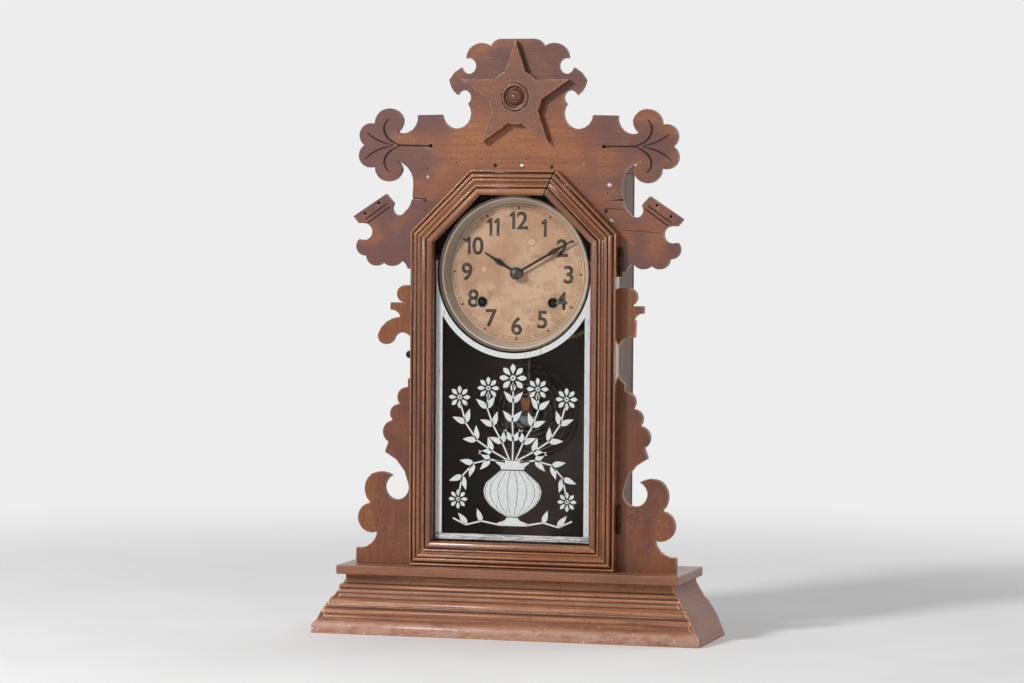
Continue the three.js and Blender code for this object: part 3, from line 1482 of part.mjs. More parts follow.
// ---------------------------------------------------------------- gong
// One wire wound in a flat spiral from the post outwards, with a short straight piece at each end.
const GONG_CENTER = [GONG_X, DIAL_HEIGHT - GONG_DROP];
const GONG_POST = polar(
  ...GONG_CENTER,
  GONG_INNER_RADIUS + 0.5,
  THREE.MathUtils.degToRad(GONG_POST_ANGLE),
);
const GONG_STEPS_PER_TURN = 18;
const GONG_STEPS = Math.round(GONG_TURNS * GONG_STEPS_PER_TURN);
const GONG_START_ANGLE = directionTo(GONG_CENTER, GONG_POST) + 0.42;
class GongSpiral extends THREE.Curve {
  onSpiral(share) {
    const angle = GONG_START_ANGLE + share * GONG_TURNS * 2 * Math.PI;
    const radius = GONG_INNER_RADIUS + share * GONG_TURNS * GONG_PITCH;
    const [x, z] = polar(...GONG_CENTER, radius, angle);
    return new THREE.Vector3(x, GONG_Y, z);
  }
  getPoint(share) {
    const step = share * (GONG_STEPS + 2) - 1;
    const onCurve = this.onSpiral(THREE.MathUtils.clamp(step / GONG_STEPS, 0, 1));
    if (step > 0 && step < GONG_STEPS) return onCurve;
    const end = step <= 0 ? 0 : 1;
    const along = this.onSpiral(end + 1e-4).sub(this.onSpiral(end - 1e-4)).normalize();
    const beyond = end ? step - GONG_STEPS : step;
    return onCurve.addScaledVector(along, beyond * 2 * GONG_WIRE_RADIUS);
  }
  getPointAt(share) {
    return this.getPoint(share);
  }
  getTangentAt(share) {
    return this.getTangent(share);
  }
}
const spiral = new GongSpiral();
const gong = new THREE.ExtrudeGeometry(shapeOf(circle(0, 0, GONG_WIRE_RADIUS, 6)), {
  steps: GONG_STEPS + 2,
  extrudePath: spiral,
  bevelEnabled: false,
});
add("gong_coil", toSolid(gong), STEEL);
const wirePoints = spiral.getPoints(GONG_STEPS + 2);
const apart = wirePoints.flatMap((a, i) =>
  wirePoints.slice(i + GONG_STEPS_PER_TURN / 2).map((b) => a.distanceTo(b)),
);
const leastGap = Math.min(...apart) - 2 * GONG_WIRE_RADIUS;
console.log("gong wire, least gap to itself:", leastGap.toFixed(2), "mm");

const standTop = GONG_Y + GONG_WIRE_RADIUS + 0.4;
add(
  "gong_stand",
  joined([
    turned(
      trace(
        [0, GONG_Y - 3.4],
        [
          [GONG_NECK_RADIUS * 0.8, GONG_Y - 3, GONG_NECK_RADIUS, GONG_Y - 1.8],
          [GONG_NECK_RADIUS, standTop],
          [GONG_POST_RADIUS, standTop],
          [GONG_POST_RADIUS, BACK_BOARD_Y - GAP],
          [0, BACK_BOARD_Y - GAP],
        ],
        30,
      ),
      ...GONG_POST,
      16,
    ),
    board(
      [
        [GONG_POST[0] - GONG_ARM, GONG_POST[1] - 6.5],
        [GONG_POST[0], GONG_POST[1] - 5],
        [GONG_POST[0], GONG_POST[1] + 5],
        [GONG_POST[0] - GONG_ARM, GONG_POST[1] + 6.5],
      ],
      BACK_BOARD_Y - GAP - 3.5,
      BACK_BOARD_Y - GAP,
    ),
  ]),
  IRON,
);

export default clock;
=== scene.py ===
"""Looks of the fretwork shelf clock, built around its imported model."""

import math

import bmesh
import bpy
from mathutils import Matrix, Vector


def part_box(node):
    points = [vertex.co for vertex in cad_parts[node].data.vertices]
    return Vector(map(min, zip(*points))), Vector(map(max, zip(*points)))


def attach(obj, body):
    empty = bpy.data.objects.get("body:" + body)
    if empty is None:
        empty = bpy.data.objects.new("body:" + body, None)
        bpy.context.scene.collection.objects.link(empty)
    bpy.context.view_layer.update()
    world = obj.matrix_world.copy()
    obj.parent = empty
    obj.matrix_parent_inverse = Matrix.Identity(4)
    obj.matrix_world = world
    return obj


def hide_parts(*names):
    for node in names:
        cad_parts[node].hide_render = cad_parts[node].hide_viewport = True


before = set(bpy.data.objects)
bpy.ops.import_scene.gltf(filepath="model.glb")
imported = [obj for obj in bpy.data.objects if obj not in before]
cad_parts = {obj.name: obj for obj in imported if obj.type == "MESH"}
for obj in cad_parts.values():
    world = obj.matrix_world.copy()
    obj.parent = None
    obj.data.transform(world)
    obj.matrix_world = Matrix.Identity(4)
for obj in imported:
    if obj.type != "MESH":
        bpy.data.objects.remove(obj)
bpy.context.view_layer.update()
MM = 0.001


# ---------------------------------------------------------------- camera
# The photograph's own viewpoint: a long lens at dial height, to the right of the clock and
# turned back towards it.
CAMERA_PLACE = (0.98513, -3.51410, 0.43971)
CAMERA_YAW = math.radians(15.7722)
CAMERA_PITCH = math.radians(2.5651)
CAMERA_ROLL = math.radians(0.3521)
CAMERA_LENS = 136.54

ahead = Vector(
    (
        -math.sin(CAMERA_YAW) * math.cos(CAMERA_PITCH),
        math.cos(CAMERA_YAW) * math.cos(CAMERA_PITCH),
        -math.sin(CAMERA_PITCH),
    )
)
level_right = Vector((math.cos(CAMERA_YAW), math.sin(CAMERA_YAW), 0))
level_up = level_right.cross(ahead)
right = math.cos(CAMERA_ROLL) * level_right + math.sin(CAMERA_ROLL) * level_up
up = math.cos(CAMERA_ROLL) * level_up - math.sin(CAMERA_ROLL) * level_right
turn = Matrix((right, up, -ahead)).transposed()
bpy.ops.object.select_all(action="DESELECT")
bpy.ops.object.camera_add(location=CAMERA_PLACE, rotation=turn.to_euler())
camera = bpy.context.object
camera.data.lens = CAMERA_LENS
camera.data.clip_end = 30
bpy.context.scene.camera = camera


# ---------------------------------------------------------------- base boards
# Walnut boards round a softwood rail, glued at their mitres: a stepped front moulding, two plain
# leaning sides, and a flat top board. The front's lower edge is rubbed bare and the finish is dull.
def select_only(piece):
    bpy.ops.object.select_all(action="DESELECT")
    piece.select_set(True)
    bpy.context.view_layer.objects.active = piece


def apply_modifier(piece, kind, **settings):
    select_only(piece)
    modifier = piece.modifiers.new(kind, kind)
    for key, value in settings.items():
        setattr(modifier, key, value)
    bpy.ops.object.modifier_apply(modifier=modifier.name)


def smooth(piece, angle=35):
    select_only(piece)
    bpy.ops.object.shade_smooth_by_angle(angle=math.radians(angle))


def add_node(tree, kind, inputs=None, **settings):
    made = tree.nodes.new(kind)
    for key, value in settings.items():
        setattr(made, key, value)
    for key, value in (inputs or {}).items():
        if isinstance(value, bpy.types.NodeSocket):
            tree.links.new(value, made.inputs[key])
        else:
            made.inputs[key].default_value = value
    return made


def new_material(name):
    material = bpy.data.materials.new(name)
    material.use_nodes = True
    material.node_tree.nodes.clear()
    tree = material.node_tree
    surface = add_node(tree, "ShaderNodeBsdfPrincipled")
    output = add_node(tree, "ShaderNodeOutputMaterial")
    tree.links.new(surface.outputs[0], output.inputs[0])
    return material, tree, surface


def place_in(tree, scale, turned=(0, 0, 0)):
    """Object coordinates, turned first and then stretched."""
    place = add_node(tree, "ShaderNodeTexCoord").outputs["Object"]
    if any(turned):
        place = add_node(tree, "ShaderNodeMapping", {0: place, "Rotation": turned}).outputs[0]
    return add_node(tree, "ShaderNodeMapping", {0: place, "Scale": scale}).outputs[0]


def noise(tree, where, scale=1.0, detail=4.0, rough=0.55):
    made = add_node(
        tree,
        "ShaderNodeTexNoise",
        {"Vector": where, "Scale": scale, "Detail": detail, "Roughness": rough},
    )
    return made.outputs["Fac"]


def ramp(tree, value, low, high, out_low=0.0, out_high=1.0):
    made = add_node(
        tree,
        "ShaderNodeMapRange",
        {0: value, 1: low, 2: high, 3: out_low, 4: out_high},
        interpolation_type="SMOOTHSTEP",
    )
    return made.outputs[0]


def blend_colour(tree, share, first, second, how="MIX"):
    made = add_node(tree, "ShaderNodeMix", data_type="RGBA", blend_type=how)
    for socket, value in ((0, share), (6, first), (7, second)):
        if isinstance(value, bpy.types.NodeSocket):
            tree.links.new(value, made.inputs[socket])
        else:
            made.inputs[socket].default_value = value if socket == 0 else (*value, 1)
    return made.outputs[2]


def multiply(tree, a, b):
    return add_node(tree, "ShaderNodeMath", {0: a, 1: b}, operation="MULTIPLY").outputs[0]


def colour(red, green, blue):
    """A colour as read off a screen, 0 to 255, as linear light."""
    return tuple(
        c / 12.92 if c <= 0.04045 else ((c + 0.055) / 1.055) ** 2.4
        for c in (red / 255, green / 255, blue / 255)
    )


ALONG_X = (0, 0, 0)
ALONG_Z = (0, math.pi / 2, 0)


def far_from(tree, middle, near, far):
    """0 within `near` of a point, 1 past `far`, all in metres."""
    place = add_node(tree, "ShaderNodeTexCoord").outputs["Object"]
    gap = add_node(tree, "ShaderNodeVectorMath", {0: place, 1: middle}, operation="DISTANCE")
    return ramp(tree, gap.outputs["Value"], near, far)


def shelter(tree, reach, outward=False):
    """1 on open ground; less in a groove, or, if `outward`, less close to a sharp edge."""
    made = add_node(
        tree,
        "ShaderNodeAmbientOcclusion",
        {"Distance": reach * MM},
        samples=8,
        inside=outward,
        only_local=True,
    )
    return made.outputs["AO"]


def walnut(
    name,
    main,
    warm,
    deep,
    grain=ALONG_X,
    bare=None,
    shine=0.4,
    patches=0.5,
    streaks=0.3,
    groove=3.0,
    dirt_and_shade=(0.78, 0.46),
    coat=0.2,
):
    """Old shellacked walnut. The grain runs along X before `grain` turns it. Hollows about `groove`
    millimetres wide are darkened, from faint to black between the two values given for it: painted
    shade, mixed with dirt."""
    material, tree, surface = new_material(name)
    fibre = noise(tree, place_in(tree, (12, 420, 420), grain), detail=5)
    figure = noise(tree, place_in(tree, (7, 34, 34), grain), detail=4, rough=0.6)
    pores = noise(tree, place_in(tree, (110, 2200, 2200), grain), detail=2)
    cloud = noise(tree, place_in(tree, (16, 24, 24), grain), detail=3)
    dust = noise(tree, place_in(tree, (900, 900, 900)), detail=2, rough=0.7)
    dusty = noise(tree, place_in(tree, (24, 24, 24)), detail=2)
    crazing = noise(tree, place_in(tree, (420, 420, 420)), detail=3, rough=0.7)
    wood = blend_colour(tree, ramp(tree, figure, 0.36, 0.64), main, warm)
    wood = blend_colour(tree, ramp(tree, fibre, 0.42, 0.66, 0, streaks), wood, deep)
    wood = blend_colour(tree, ramp(tree, cloud, 0.46, 0.72, 0, patches), wood, deep)
    wood = blend_colour(tree, ramp(tree, pores, 0.56, 0.7, 0, 0.4), wood, deep)
    wood = blend_colour(tree, ramp(tree, crazing, 0.5, 0.68, 0, 0.5), wood, deep)
    specks = multiply(tree, ramp(tree, dust, 0.62, 0.72, 0, 0.6), ramp(tree, dusty, 0.42, 0.6))
    wood = blend_colour(tree, specks, wood, colour(196, 168, 152))
    rubbed = noise(tree, place_in(tree, (60, 240, 240), grain), detail=4, rough=0.7)
    worn = multiply(
        tree, ramp(tree, shelter(tree, 1.1, True), 0.92, 0.66), ramp(tree, rubbed, 0.38, 0.54)
    )
    wood = blend_colour(tree, multiply(tree, worn, 0.8), wood, bare or colour(196, 150, 116))
    # Hollows are darkened by ambient occlusion, first brown and then towards black: painted shade,
    # with dirt mixed in by noise.
    ambient_shade = shelter(tree, groove)
    wood = blend_colour(tree, ramp(tree, ambient_shade, 0.97, 0.78, 0, 0.55), wood, colour(104, 50, 32))
    dirt_and_shade_share = multiply(tree, ramp(tree, ambient_shade, *dirt_and_shade), ramp(tree, rubbed, 0.3, 0.45, 0.65, 0.95))
    wood = blend_colour(tree, dirt_and_shade_share, wood, colour(22, 12, 9))
    tree.links.new(wood, surface.inputs["Base Color"])
    rough = ramp(tree, cloud, 0.3, 0.75, shine - 0.06, shine + 0.12)
    tree.links.new(rough, surface.inputs["Roughness"])
    surface.inputs["Coat Weight"].default_value = coat
    surface.inputs["Coat Roughness"].default_value = 0.12
    height = add_node(tree, "ShaderNodeMath", {0: fibre, 1: pores}, operation="ADD").outputs[0]
    height = add_node(tree, "ShaderNodeMath", {0: height, 1: crazing}, operation="ADD").outputs[0]
    bump = add_node(
        tree, "ShaderNodeBump", {"Height": height, "Strength": 0.3, "Distance": 0.0003}
    )
    tree.links.new(bump.outputs[0], surface.inputs["Normal"])
    return material


def tint_away(material, share, tint):
    """Mixes a colour over a material's wood, by a share worked out in its own tree."""
    tree = material.node_tree
    surface = next(n for n in tree.nodes if n.type == "BSDF_PRINCIPLED")
    wood = surface.inputs["Base Color"].links[0].from_socket
    tree.links.new(blend_colour(tree, share, wood, tint), surface.inputs["Base Color"])


def height_of(tree):
    """Height above the shelf, in metres."""
    place = add_node(tree, "ShaderNodeTexCoord").outputs["Object"]
    return add_node(tree, "ShaderNodeSeparateXYZ", {0: place}).outputs["Z"]


def softened(node, material, edge=0.4, steps=2, angle=30, body="case", round_to=0):
    """The node's shape with its edges rubbed round, in place of the node. Facets that meet at less
    than `round_to` degrees are shaded as one curve, as on a bead; otherwise flats stay flat."""
    piece = bpy.data.objects.new(node + "_finished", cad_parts[node].data.copy())
    bpy.context.scene.collection.objects.link(piece)
    select_only(piece)
    bpy.ops.object.mode_set(mode="EDIT")
    bpy.ops.mesh.select_all(action="SELECT")
    bpy.ops.mesh.remove_doubles(threshold=0.002 * MM)
    bpy.ops.mesh.dissolve_limited(angle_limit=math.radians(0.3))
    bpy.ops.object.mode_set(mode="OBJECT")
    if edge:
        apply_modifier(
            piece,
            "BEVEL",
            width=edge * MM,
            segments=steps,
            limit_method="ANGLE",
            angle_limit=math.radians(angle),
            harden_normals=False,
        )
    piece.data.materials.clear()
    piece.data.materials.append(material)
    smooth(piece, round_to or 35)
    if not round_to:
        apply_modifier(piece, "WEIGHTED_NORMAL", keep_sharp=True)
    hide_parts(node)
    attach(piece, body)
    return piece


def dress(node, material):
    """A CAD node that is shown as it is."""
    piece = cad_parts[node]
    piece.data.materials.clear()
    piece.data.materials.append(material)


base_walnut = walnut(
    "base walnut",
    colour(168, 108, 71),
    colour(188, 128, 84),
    colour(102, 50, 34),
    bare=colour(236, 196, 160),
    patches=0.25,
    streaks=0.65,
    groove=4.0,
    dirt_and_shade=(0.97, 0.76),
    shine=0.5,
    coat=0.15,
)
# The lowest band is rubbed pale, and its shellac is chipped off in specks.
base_tree = base_walnut.node_tree
base_height = height_of(base_tree)
rubbing = noise(base_tree, place_in(base_tree, (60, 150, 150)), detail=5, rough=0.7)
lowest_band = ramp(base_tree, base_height, 0.014, 0.01)
rubbed_band = multiply(base_tree, lowest_band, ramp(base_tree, rubbing, 0.3, 0.6))
tint_away(base_walnut, rubbed_band, colour(176, 136, 118))
chips = noise(base_tree, place_in(base_tree, (300, 300, 300)), detail=3, rough=0.7)
chipped_band = ramp(base_tree, base_height, 0.02, 0.006)
chip_share = multiply(base_tree, chipped_band, ramp(base_tree, chips, 0.645, 0.7))
tint_away(base_walnut, chip_share, colour(236, 222, 208))
side_walnut = walnut(
    "base side walnut",
    colour(144, 92, 74),
    colour(152, 98, 78),
    colour(112, 66, 52),
    grain=(0, 0, math.pi / 2),
    shine=0.6,
    patches=0.3,
)
top_walnut = walnut(
    "top board walnut", colour(132, 82, 54), colour(146, 92, 60), colour(84, 46, 34)
)
moulding = softened("base_front_moulding", base_walnut, edge=0.25, round_to=40)
for side in ("left", "right"):
    softened("base_side_" + side, side_walnut, edge=0.7)
softened("base_top_board", top_walnut, edge=0.8)


# ---------------------------------------------------------------- case box
# Plain softwood boards nailed together behind the fretwork, never polished. The sides are stained
# brown, and the inside is painted dark as shade.
def softwood(name, main, deep, grain):
    material, tree, surface = new_material(name)
    fibre = noise(tree, place_in(tree, (8, 220, 220), grain), detail=5)
    rings = noise(tree, place_in(tree, (3, 45, 45), grain), detail=2)
    stain = noise(tree, place_in(tree, (12, 12, 12)), detail=4)
    wood = blend_colour(tree, ramp(tree, rings, 0.42, 0.58, 0, 0.5), main, deep)
    wood = blend_colour(tree, ramp(tree, fibre, 0.4, 0.7, 0, 0.6), wood, deep)
    wood = blend_colour(tree, ramp(tree, stain, 0.5, 0.75, 0, 0.5), wood, colour(44, 30, 24))
    tree.links.new(wood, surface.inputs["Base Color"])
    surface.inputs["Roughness"].default_value = 0.72
    bump = add_node(
        tree, "ShaderNodeBump", {"Height": fibre, "Strength": 0.3, "Distance": 0.0004}
    )
    tree.links.new(bump.outputs[0], surface.inputs["Normal"])
    return material


def inside_dark(material, socket, inner, outer):
    """The face that looks into the case is painted nearly black, as shade; the outer face keeps its
    colour.
    """
    tree = material.node_tree
    place = add_node(tree, "ShaderNodeTexCoord").outputs["Object"]
    across = add_node(tree, "ShaderNodeSeparateXYZ", {0: place}).outputs[socket]
    size = add_node(tree, "ShaderNodeMath", {0: across}, operation="ABSOLUTE").outputs[0]
    tint_away(material, ramp(tree, size, outer, inner), colour(64, 46, 40))


CASE_INSIDE, CASE_OUTSIDE = (corner.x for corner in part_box("case_side_right"))
upright_softwood = softwood(
    "case side softwood", colour(146, 126, 118), colour(112, 92, 84), ALONG_Z
)
inside_dark(upright_softwood, "X", CASE_INSIDE + 1 * MM, CASE_OUTSIDE - 1 * MM)
back_softwood = softwood(
    "back board softwood", colour(136, 98, 72), colour(92, 62, 44), ALONG_Z
)
BACK_INSIDE, BACK_OUTSIDE = (corner.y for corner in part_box("back_board"))
inside_dark(back_softwood, "Y", BACK_INSIDE + 1 * MM, BACK_OUTSIDE - 1 * MM)
cross_softwood = softwood(
    "cross-grain softwood", colour(128, 98, 76), colour(84, 60, 46), ALONG_X
)
for node, wood in (
    ("case_side_left", upright_softwood),
    ("case_side_right", upright_softwood),
    ("back_board", back_softwood),
    ("case_roof", cross_softwood),
    ("base_back_rail", cross_softwood),
    ("dial_block_left", cross_softwood),
    ("dial_block_right", cross_softwood),
):
    softened(node, wood, edge=0.6)


# ---------------------------------------------------------------- fretwork
# Thin walnut boards sawn with a fret saw and glued to the front of the case. Leaf veins are gouged
# into the arms of the crown, and its slanted ends have two grooves and two drilled holes each.
FRET_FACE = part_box("crown_fret")[0].y
CROWN_MIDDLE = (0, FRET_FACE, 0.444)
crown_walnut = walnut(
    "crown walnut", colour(136, 76, 44), colour(158, 94, 48), colour(78, 36, 28), patches=0.65
)
# Its old polish has kept a plum colour away from the middle, in clouds.
crown_tree = crown_walnut.node_tree
crown_clouds = noise(crown_tree, place_in(crown_tree, (24, 24, 30)), detail=3)
plum_share = multiply(
    crown_tree,
    far_from(crown_tree, CROWN_MIDDLE, 0.04, 0.1),
    ramp(crown_tree, crown_clouds, 0.36, 0.58, 0.25, 0.9),
)
tint_away(crown_walnut, plum_share, colour(92, 52, 48))
fret_walnut = walnut(
    "side fret walnut",
    colour(114, 58, 26),
    colour(136, 76, 30),
    colour(70, 29, 18),
    grain=ALONG_Z,
    patches=0.75,
)

crown = softened("crown_fret", crown_walnut, edge=0.45)
for side in ("left", "right"):
    softened("side_fret_" + side, fret_walnut, edge=0.45)

cut_dark, cut_tree, cut_surface = new_material("gouged wood")
cut_noise = noise(cut_tree, place_in(cut_tree, (300, 300, 300)), detail=3)
cut_tree.links.new(
    blend_colour(cut_tree, cut_noise, colour(34, 18, 14), colour(66, 36, 26)),
    cut_surface.inputs["Base Color"],
)
cut_surface.inputs["Roughness"].default_value = 0.7
crown.data.materials.append(cut_dark)


def carve(piece, cutter):
    """Takes the cutter's shape out of the piece; the cut shows the cutter's own material."""
    apply_modifier(
        piece,
        "BOOLEAN",
        object=cutter,
        operation="DIFFERENCE",
        solver="EXACT",
        material_mode="TRANSFER",
    )
    bpy.data.objects.remove(cutter)


def gouge(points, radius, lift):
    """A round wire along points (x, z) in millimetres, held `lift` off the fret's face. A third
    number in a point is the wire's thickness there."""
    bpy.ops.object.select_all(action="DESELECT")
    bpy.ops.curve.primitive_nurbs_path_add()
    wire = bpy.context.object
    wire.data.splines.clear()
    spline = wire.data.splines.new("NURBS")
    spline.points.add(len(points) - 1)
    for point, (x, z, *thick) in zip(spline.points, points):
        point.co = (x * MM, FRET_FACE - lift * MM, z * MM, 1)
        point.radius = thick[0] if thick else 1
    spline.order_u = min(4, len(points))
    spline.use_endpoint_u = True
    spline.resolution_u = 6
    wire.data.bevel_depth = radius * MM
    wire.data.bevel_resolution = 2
    wire.data.use_fill_caps = True
    bpy.ops.object.convert(target="MESH")
    cutter = bpy.context.object
    cutter.data.materials.clear()
    cutter.data.materials.append(cut_dark)
    return cutter


def drill(x, z, radius, depth=3):
    """A cutter for a round hole in the fret's face; all in millimetres."""
    bpy.ops.object.select_all(action="DESELECT")
    bpy.ops.mesh.primitive_cylinder_add(
        vertices=20,
        radius=radius * MM,
        depth=2 * depth * MM,
        location=(x * MM, FRET_FACE, z * MM),
        rotation=(math.pi / 2, 0, 0),
    )
    cutter = bpy.context.object
    cutter.data.materials.append(cut_dark)
    return cutter


# The left arm's veins, mirrored for the right arm: x, z and thickness.
VEIN_END = (-84, 459.6)
LEAF_VEINS = (
    (VEIN_END, (-98, 459.7), (-117, 460, 1.1)),
    (
        (-113, 460, 0.5),
        (-122, 462, 1.1),
        (-130, 469, 1.3),
        (-131.5, 479, 1.2),
        (-125.5, 485, 0.6),
    ),
    ((-121, 460.3, 0.5), (-134, 462.5, 1.1), (-142, 467, 1.1), (-147, 472, 0.5)),
    ((-121, 459.6, 0.5), (-134, 457.5, 1.1), (-142, 453.5, 1.1), (-149, 446.5, 0.5)),
    (
        (-113, 459.8, 0.5),
        (-123, 456.5, 1.1),
        (-130.5, 449, 1.3),
        (-130.5, 440, 1.2),
        (-125, 435, 0.6),
    ),
)
BAR_GROOVES = (((-126.6, 405.2), (-148.6, 389.6)), ((-124.2, 402), (-146.2, 386.4)))
BAR_HOLES = ((-135.2, 405.6), (-148.6, 395.4))
for hand in (1, -1):
    for vein in LEAF_VEINS:
        carve(crown, gouge([(hand * x, z, *rest) for x, z, *rest in vein], 1.0, 0.15))
    for groove in BAR_GROOVES:
        carve(crown, gouge([(hand * x, z) for x, z in groove], 0.9, 0.2))
    for x, z in BAR_HOLES:
        carve(crown, drill(hand * x, z, 1.35, 4))
    carve(crown, drill(hand * VEIN_END[0], VEIN_END[1], 1.9, 3))


def flat_patch(points):
    """A flat filled outline of (x, z) points in millimetres."""
    bpy.ops.object.select_all(action="DESELECT")
    bpy.ops.mesh.primitive_plane_add(size=1)
    patch = bpy.context.object
    made = bmesh.new()
    made.faces.new([made.verts.new((x * MM, 0, z * MM)) for x, z in points])
    made.to_mesh(patch.data)
    made.free()
    return patch


def printed(piece, y, thickness=0.06):
    """Gives a flat shape its thickness at depth y, in metres, with its faces outwards."""
    piece.location.y = y
    select_only(piece)
    bpy.ops.object.transform_apply(location=True, rotation=True, scale=True)
    apply_modifier(piece, "SOLIDIFY", thickness=thickness * MM, offset=0)
    bpy.ops.object.mode_set(mode="EDIT")
    bpy.ops.mesh.select_all(action="SELECT")
    bpy.ops.mesh.normals_make_consistent(inside=False)
    bpy.ops.object.mode_set(mode="OBJECT")
    return piece


# Cracks along the grain, and holes that old nails have left. Behind the open cracks at the sides
# sits a dark wedge: painted shade for the inside of each crack.
CRACK_WEDGE = ((-101.4, 411.1), (-86.2, 409.6), (-101.8, 409.2))
CRACK_MIDDLE, CRACK_DEPTH = 3.6, 5
for hand, side in ((1, "left"), (-1, "right")):
    wedge = flat_patch([(hand * x, z) for x, z in CRACK_WEDGE])
    crack_shade = printed(wedge, FRET_FACE + CRACK_MIDDLE * MM, CRACK_DEPTH)
    crack_shade.name = "crown_crack_shade_" + side
    crack_shade.data.materials.append(cut_dark)
    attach(crack_shade, "case")
carve(crown, gouge([(85, 401.9), (92, 402.4), (100, 401.6), (108, 401.2, 0.5)], 0.55, 0.1))
carve(crown, gouge([(99, 382.6, 0.6), (112, 381.5), (126, 380.6), (141, 380, 0.6)], 0.35, 0.05))
OLD_NAIL_HOLES = (
    (-86.8, 438.6),
    (-85.5, 420.5),
    (87.7, 416.2),
    (-64, 448),
    (-58.5, 444),
    (-34, 447),
    (-4, 445),
    (-21, 441.6),
    (9.6, 447.6),
    (34, 440.8),
    (46.4, 443.2),
    (-89, 399),
)
for x, z in OLD_NAIL_HOLES:
    carve(crown, drill(x, z, 0.75, 2))
smooth(crown)
apply_modifier(crown, "WEIGHTED_NORMAL", keep_sharp=True)


# ---------------------------------------------------------------- screws and nails
# Small round-headed steel screws and cut nails, rusty brown or rubbed bright, driven through the
# crown into the case behind it.
def metal(name, main, deep, shine, metallic=1.0, grain=0.25):
    material, tree, surface = new_material(name)
    tarnish = noise(tree, place_in(tree, (160, 160, 160)), detail=4, rough=0.65)
    fine = noise(tree, place_in(tree, (1400, 1400, 1400)), detail=2)
    tint = blend_colour(tree, ramp(tree, tarnish, 0.35, 0.68), main, deep)
    tree.links.new(tint, surface.inputs["Base Color"])
    tree.links.new(
        ramp(tree, tarnish, 0.3, 0.7, shine, min(1, shine + 0.2)), surface.inputs["Roughness"]
    )
    surface.inputs["Metallic"].default_value = metallic
    bump = add_node(
        tree, "ShaderNodeBump", {"Height": fine, "Strength": grain, "Distance": 0.0001}
    )
    tree.links.new(bump.outputs[0], surface.inputs["Normal"])
    return material


bright_screw = metal("rubbed screw steel", colour(196, 190, 180), colour(110, 92, 78), 0.35)
dull_nail = metal("rusty nail iron", colour(92, 68, 56), colour(48, 34, 30), 0.6, 0.6)


def screw_head(name, x, z, radius, material, turned):
    """A low domed head with a sawn slot."""
    bpy.ops.object.select_all(action="DESELECT")
    bpy.ops.mesh.primitive_uv_sphere_add(
        segments=20, ring_count=12, radius=radius * MM, location=(x * MM, FRET_FACE, z * MM)
    )
    head = bpy.context.object
    head.name = name
    head.scale = (1, 0.45, 1)
    bpy.ops.object.transform_apply(location=True, rotation=True, scale=True)
    bpy.ops.mesh.primitive_cube_add(
        size=1, location=(x * MM, FRET_FACE - radius * 0.5 * MM, z * MM), rotation=(0, turned, 0)
    )
    slot = bpy.context.object
    slot.scale = (3 * radius * MM, 0.6 * radius * MM, 0.28 * radius * MM)
    carve(head, slot)
    head.data.materials.clear()
    head.data.materials.append(material)
    smooth(head)
    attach(head, "case")


# Name, x, z, radius, metal and the turn of the slot.
SCREWS = (
    ("screw_left", -86.4, 429.7, 2.4, bright_screw, 0.6),
    ("screw_right", 89.8, 423.6, 2.6, bright_screw, 0.9),
    ("screw_right_low", 92.3, 390.5, 2.4, bright_screw, 0.2),
    ("screw_crown_middle", 5.5, 441.2, 2.4, bright_screw, 0.3),
    ("nail_left", -89.5, 409, 1.9, dull_nail, 0.4),
    ("nail_right", 86.4, 400, 2.0, dull_nail, 1.1),
    ("nail_crown_far_right", 65.4, 443.2, 1.2, bright_screw, 0.2),
    ("nail_crown_left", -21, 441.8, 1.9, dull_nail, 0.1),
    ("nail_crown_right", 34, 440.4, 1.7, dull_nail, 0.7),
)
for name, x, z, radius, material, turned in SCREWS:
    screw_head(name, x, z, radius, material, turned)


# ---------------------------------------------------------------- star and rosette
# A sawn star on a disc, glued flat on the crown, with a turned button in its middle. It is warmer
# in colour than the crown.
star_walnut = walnut(
    "star walnut",
    colour(118, 70, 50),
    colour(132, 78, 50),
    colour(78, 42, 34),
    bare=colour(224, 188, 160),
    patches=0.55,
    streaks=0.2,
)
softened("crown_star", star_walnut, edge=0.5)
rosette = softened("star_rosette", star_walnut, edge=0.3, angle=50)
rosette_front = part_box("star_rosette")[0].y
rosette_middle = sum(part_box("star_rosette"), Vector()) / 2
bpy.ops.object.select_all(action="DESELECT")
bpy.ops.mesh.primitive_torus_add(
    major_segments=40,
    minor_segments=8,
    major_radius=3.6 * MM,
    minor_radius=0.6 * MM,
    location=(rosette_middle.x, rosette_front + 0.5 * MM, rosette_middle.z),
    rotation=(math.pi / 2, 0, 0),
)
button_groove = bpy.context.object
button_groove.data.materials.append(cut_dark)
carve(rosette, button_groove)
smooth(rosette)
